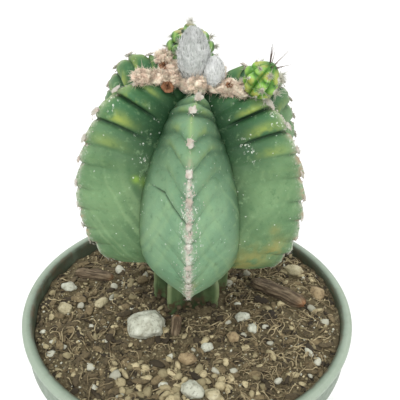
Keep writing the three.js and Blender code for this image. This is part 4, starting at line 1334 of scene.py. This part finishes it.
def make_bud(name, bud, node, hairs, length, tones, seed):
    """An egg of overlapping scales under fine hairs that lie upwards, with thin dark bristles among them."""
    rng = np.random.default_rng(seed)
    foot, tip = np.array(bud["foot"], float), np.array(bud["tip"], float)
    height = np.linalg.norm(tip - foot)
    axis = unit(tip - foot)
    side, other = basis(axis)
    foot = foot + PLANT
    shape = Shape()
    share = np.linspace(1, 0, 56)[:, None]
    angle = np.arange(72)[None] * math.tau / 72
    scale_rows = share * 9
    turn = angle * 8 / math.tau + 0.5 * np.floor(scale_rows)
    ridge = np.abs((turn % 1) - 0.5) * 2
    radius = bud_radius(bud, share) * (0.9 + 0.035 * (1 - ridge) * (scale_rows % 1))
    rings = circle(foot, radius, angle, side, other) + (share * height * 0.985)[..., None] * axis
    add_skin(shape, rings, tone=0.35, along=1)

    up = ((np.arange(hairs) + 0.5) / hairs) ** 0.9 * 0.97
    angles = GOLDEN_ANGLE * np.arange(hairs) + rng.normal(0, 0.05, hairs)
    away = circle(0, np.ones(hairs), angles, side, other)
    here, above = bud_radius(bud, up), bud_radius(bud, np.minimum(up + 0.03, 1))
    climb = unit(axis + ((above - here) / (0.03 * height))[:, None] * away)
    roots = foot + (axis * (up * height)[:, None]) + away * (here * 0.88)[:, None]
    clump = noise(roots, 1.6, seed)[:, None] * np.cross(climb, away)
    ways = climb + away * rng.uniform(0.03, 0.26, (hairs, 1)) + 0.3 * clump + rng.normal(0, 0.07, (hairs, 3))
    dark = rng.random(hairs) < 0.06 + 0.16 * (1 - up)
    lengths = rng.uniform(0.6, 1.15, hairs) * length * (1.1 - 0.8 * up**3)
    tone = np.where(dark, 1, rng.uniform(0, 0.3, hairs))
    add_strands(shape, roots, ways, lengths, np.where(dark, 0.12, 0.15), 0.14, rng, tone=tone)
    build(name, shape, felt_look("hair_" + name, *tones), [node])


# Offsets

def offset_grid(pup, rows, across):
    """The part's ribbed ball, its rolls swollen into lumps: the skin, where painted shade darkens its
    grooves, and where it is lumped.
    """
    share = np.linspace(0.02, 0.98, rows)[:, None]
    sides = pup["ribs"] * across
    side = np.arange(sides)[None]
    outline = np.sin(np.pi * share) ** 0.55
    place = np.clip((share - 0.05) / 0.9, 0, 0.9999) * pup["rolls"]
    rolled = roll(place % 1)
    crest = np.abs(np.cos(np.pi * side / across)) ** 0.8
    body = 0.68 + 0.33 * crest * (1 - 0.6 * (1 - rolled)) + 0.05 * rolled * crest
    rings = around(pup["radius"] * outline * body, 360 / sides * side, pup["length"] * (0.5 - share))
    # Painted shade in the grooves between the ribs and between the rolls.
    groove = np.clip(0.45 - crest * 1.2, 0, 1) + 0.7 * (1 - rolled) ** 1.5 * crest
    return rings, np.clip(groove, 0, 1), crest * rolled


def headed(points, pup):
    """Points that stand along +Z, turned to the offset's heading."""
    heading = Vector(pup["heading"]).normalized()
    return turned(points, Vector((0, 0, 1)).rotation_difference(heading).to_matrix())


def placed(points, pup):
    """Points that stand along +Z, turned to the offset's heading and carried to its place."""
    return headed(points, pup) + pup["middle"] + PLANT


def areole_spots(pup, rng):
    """The top of each lump, on the offset's skin."""
    spots, ways = [], []
    for rib in range(pup["ribs"]):
        for step in range(pup["rolls"]):
            share = 0.05 + 0.9 * (step + 0.45 + rng.normal(0, 0.04)) / pup["rolls"]
            azimuth = 360 / pup["ribs"] * rib + rng.normal(0, 2)
            reach = pup["radius"] * math.sin(math.pi * share) ** 0.55
            height = pup["length"] * (0.5 - share)
            spots.append(around(reach * 1.02, azimuth, height))
            ways.append(unit(around(reach, azimuth, height * 0.8)))
    return np.array(spots), np.array(ways)


def make_ribbed_offset():
    """A ribbed ball with its rolls swollen into lumps, and wool on the lumps that face one way."""
    seed = 56
    rng = np.random.default_rng(seed)
    rings, groove, top = offset_grid(PUP_RIGHT, 84, 18)
    rings = rings * (1 + 0.05 * rough(rings, 2.4, 3, seed))[..., None]
    tip = top * (noise(rings, 1.6, seed + 1) > 0.25)
    shape = Shape()
    add_skin(shape, placed(rings, PUP_RIGHT), groove=groove, tip=tip, edge=smooth(0.35, 0.8, top))
    look = offset_look("offset_right", (92, 150, 46), (38, 86, 26), (140, 184, 84))
    build("offset_right", shape, look, ["pup_right"])
    spots, ways = areole_spots(PUP_RIGHT, rng)
    woolly = (0.8, -0.5, 0.2)
    add_offset_felt("offset_right", placed(spots, PUP_RIGHT), headed(ways, PUP_RIGHT), woolly, rng, seed)


def add_offset_felt(name, spots, ways, woolly, rng, seed):
    """Small felt lumps and hairs where the areoles of an offset are, thickest where they face woolly."""
    felt = Shape()
    points, faces = ball(2)
    for spot, way in zip(spots, ways):
        toward = max(0, float(way @ unit(woolly)))
        size = rng.uniform(0.35, 0.55) * (1 + 1.3 * toward)
        lump = lumpy(points, 0.3, 0.8, 2, seed + 2, rng.uniform(0, 99, 3))
        felt.add(lump * size * 0.8 + spot - way * 0.15, faces, tone=rng.uniform(0, 0.3), along=1)
        count = int(12 + 60 * toward)
        lean = way + rng.normal(0, 0.75, (count, 3))
        lengths = rng.uniform(0.7, 1.6, count) * (0.5 + size)
        tone = rng.uniform(0, 0.3, count)
        add_strands(felt, spot + lean * 0.15, lean, lengths, 0.13, 0.45, rng, 2, tone=tone)
    wool = felt_look(name + "_felt", (206, 208, 192), (186, 182, 160), (132, 124, 102))
    build(name + "_felt", felt, wool)


def make_lobed_offset():
    """Lobes in tiers around a core in painted shade, each with a face darkened by painted shade, a pale edge
    and a little felt.
    """
    rng = np.random.default_rng(55)
    points, faces = ball(4)
    middle = np.array(PUP_BACK["middle"]) + PLANT
    ribs, first = PUP_BACK["ribs"], PUP_BACK["firstRib"]
    places = [(0, first, TOP_LOBE)]
    places += [(reach, first + 360 / ribs * rib, height)
               for height, reach in LOBE_TIERS for rib in range(ribs)]
    shape = Shape()
    # The core is all in painted shade.
    shape.add(lumpy(points, 0.04, 0.6, 2, 56) * PUP_BACK["core"] + middle, faces, groove=1, edge=0, tip=0)
    square = np.sign(points) * np.abs(points) ** 0.88
    upward = np.array([0.0, 0.0, 1.0])
    spots, ways = [], []
    for index, (reach, azimuth, height) in enumerate(places):
        out, side = around(1, azimuth, 0), around(1, azimuth + 90, 0)
        lump = 1 + 0.07 * rough(points + index * 3.1, 0.9, 3, 57)
        centre = middle + around(reach, azimuth, height)
        skin = centre + framed(square * lump[:, None] * LOBE, out, side, upward)
        facing = points[:, 0] if reach else points[:, 2]
        tip = smooth(0.7, 1, points[:, 2]) * (chance(index + 70) > 0.6)
        # Painted shade on each lobe's face toward the core, and under the top lobe.
        shape.add(skin, faces, groove=smooth(0.25, -0.25, facing), edge=bell(facing - 0.42, 0.24), tip=tip)
        spots.append(centre + (out * LOBE[0] if reach else upward * LOBE[2]))
        ways.append(unit(out + 0.4 * upward) if reach else upward)
    look = offset_look("offset_back", (66, 122, 40), (22, 54, 20), (136, 174, 92))
    build("offset_back", shape, look, ["pup_back"])
    add_offset_felt("offset_back", spots, ways, (0.3, -0.2, 1), rng, 55)


def make_spines():
    """The thin dark spines at the top of the right offset."""
    rng = np.random.default_rng(61)
    top = placed(np.zeros(3), PUP_RIGHT) + unit(PUP_RIGHT["heading"]) * PUP_RIGHT["length"] * 0.36
    share = np.linspace(0, 1, 12)[:, None]
    shape = Shape()
    for spine in range(SPINES):
        lean = 0.5 + 0.5 * chance(spine + 40)
        away = around(math.sin(lean), 360 / SPINES * spine + 30 * chance(spine), math.cos(lean))
        long = SPINE_LENGTH * (0.75 + 0.45 * chance(spine + 80))
        path = top + headed(away, PUP_RIGHT) * (share * long - 0.3) + rng.normal(0, 0.12, 3) * long * share**2
        add_tube(shape, path, 0.19 * (1 - 0.86 * share[:, 0]), 7, tone=rng.random())
    build("offset_spines", shape, grain_look("spines", (58, 44, 38), (124, 104, 88), 2))


# Setting

def make_floor():
    """A plain pale floor."""
    mesh = bpy.data.meshes.new("floor")
    rows = 25
    steps = np.linspace(-3, 3, rows)
    points = [(x, y, -0.0004) for y in steps for x in steps]
    faces = [(corner, corner + 1, corner + rows + 1, corner + rows)
             for row in range(rows - 1) for corner in range(row * rows, row * rows + rows - 1)]
    mesh.from_pydata(points, [], faces)
    look = Look("floor", 0.7)
    look.set("Base Color", look.mix(look.span(look.noise(60, 3), 0.3, 0.7), (250, 250, 249), (252, 252, 251)))
    mesh.materials.append(look.material)
    floor = bpy.data.objects.new("floor", mesh)
    bpy.context.scene.collection.objects.link(floor)


def make_light(name, place, size, power, target=(0, 0, 0.12)):
    data = bpy.data.lights.new(name, "AREA")
    data.shape = "DISK"
    data.size = size
    data.energy = power
    light = bpy.data.objects.new(name, data)
    light.location = place
    light.rotation_euler = (Vector(target) - Vector(place)).to_track_quat("-Z", "Y").to_euler()
    bpy.context.scene.collection.objects.link(light)


def make_camera():
    down, lean = math.radians(CAMERA_DOWN), math.radians(CAMERA_ROLL)
    forward = Vector((0, math.cos(down), -math.sin(down)))
    right = Vector((1, 0, 0))
    up = Vector((0, math.sin(down), math.cos(down)))
    eye = -(right * CAMERA_SIDE + up * CAMERA_UP + forward * CAMERA_DISTANCE) + Vector((0, 0, POT_HEIGHT))
    across = math.cos(lean) * right + math.sin(lean) * up
    above = -math.sin(lean) * right + math.cos(lean) * up
    data = bpy.data.cameras.new("camera")
    data.lens = CAMERA_LENS
    data.sensor_width = 36
    data.clip_start = 0.01
    camera = bpy.data.objects.new("camera", data)
    turn = Matrix((across, above, -forward)).transposed().to_4x4()
    camera.matrix_world = Matrix.Translation(eye * MM) @ turn
    bpy.context.scene.collection.objects.link(camera)
    bpy.context.scene.camera = camera


make_camera()
make_pot()
make_soil()
make_grit()
make_fibres()
make_stones()
make_bark()
make_stock()
make_body()
make_areoles()
make_wool()
make_flower_scars()
make_bud("bud_large", BUD_LARGE, "flower_bud_large", 3400, 2.4, LARGE_BUD_TONES, 51)
make_bud("bud_small", BUD_SMALL, "flower_bud_small", 1900, 1.6, SMALL_BUD_TONES, 52)
make_lobed_offset()
make_ribbed_offset()
make_spines()
make_floor()

make_light("key", (-0.3, -0.7, 1.1), 0.9, 9)
make_light("fill", (0.8, -0.6, 0.6), 0.9, 2.5)
make_light("back", (0.1, 0.9, 0.8), 0.9, 3)

world = bpy.data.worlds.new("studio")
world.use_nodes = True
background = world.node_tree.nodes["Background"]
background.inputs["Color"].default_value = (1, 1, 1, 1)
background.inputs["Strength"].default_value = 0.78
bpy.context.scene.world = world
bpy.context.scene.view_settings.view_transform = "Standard"
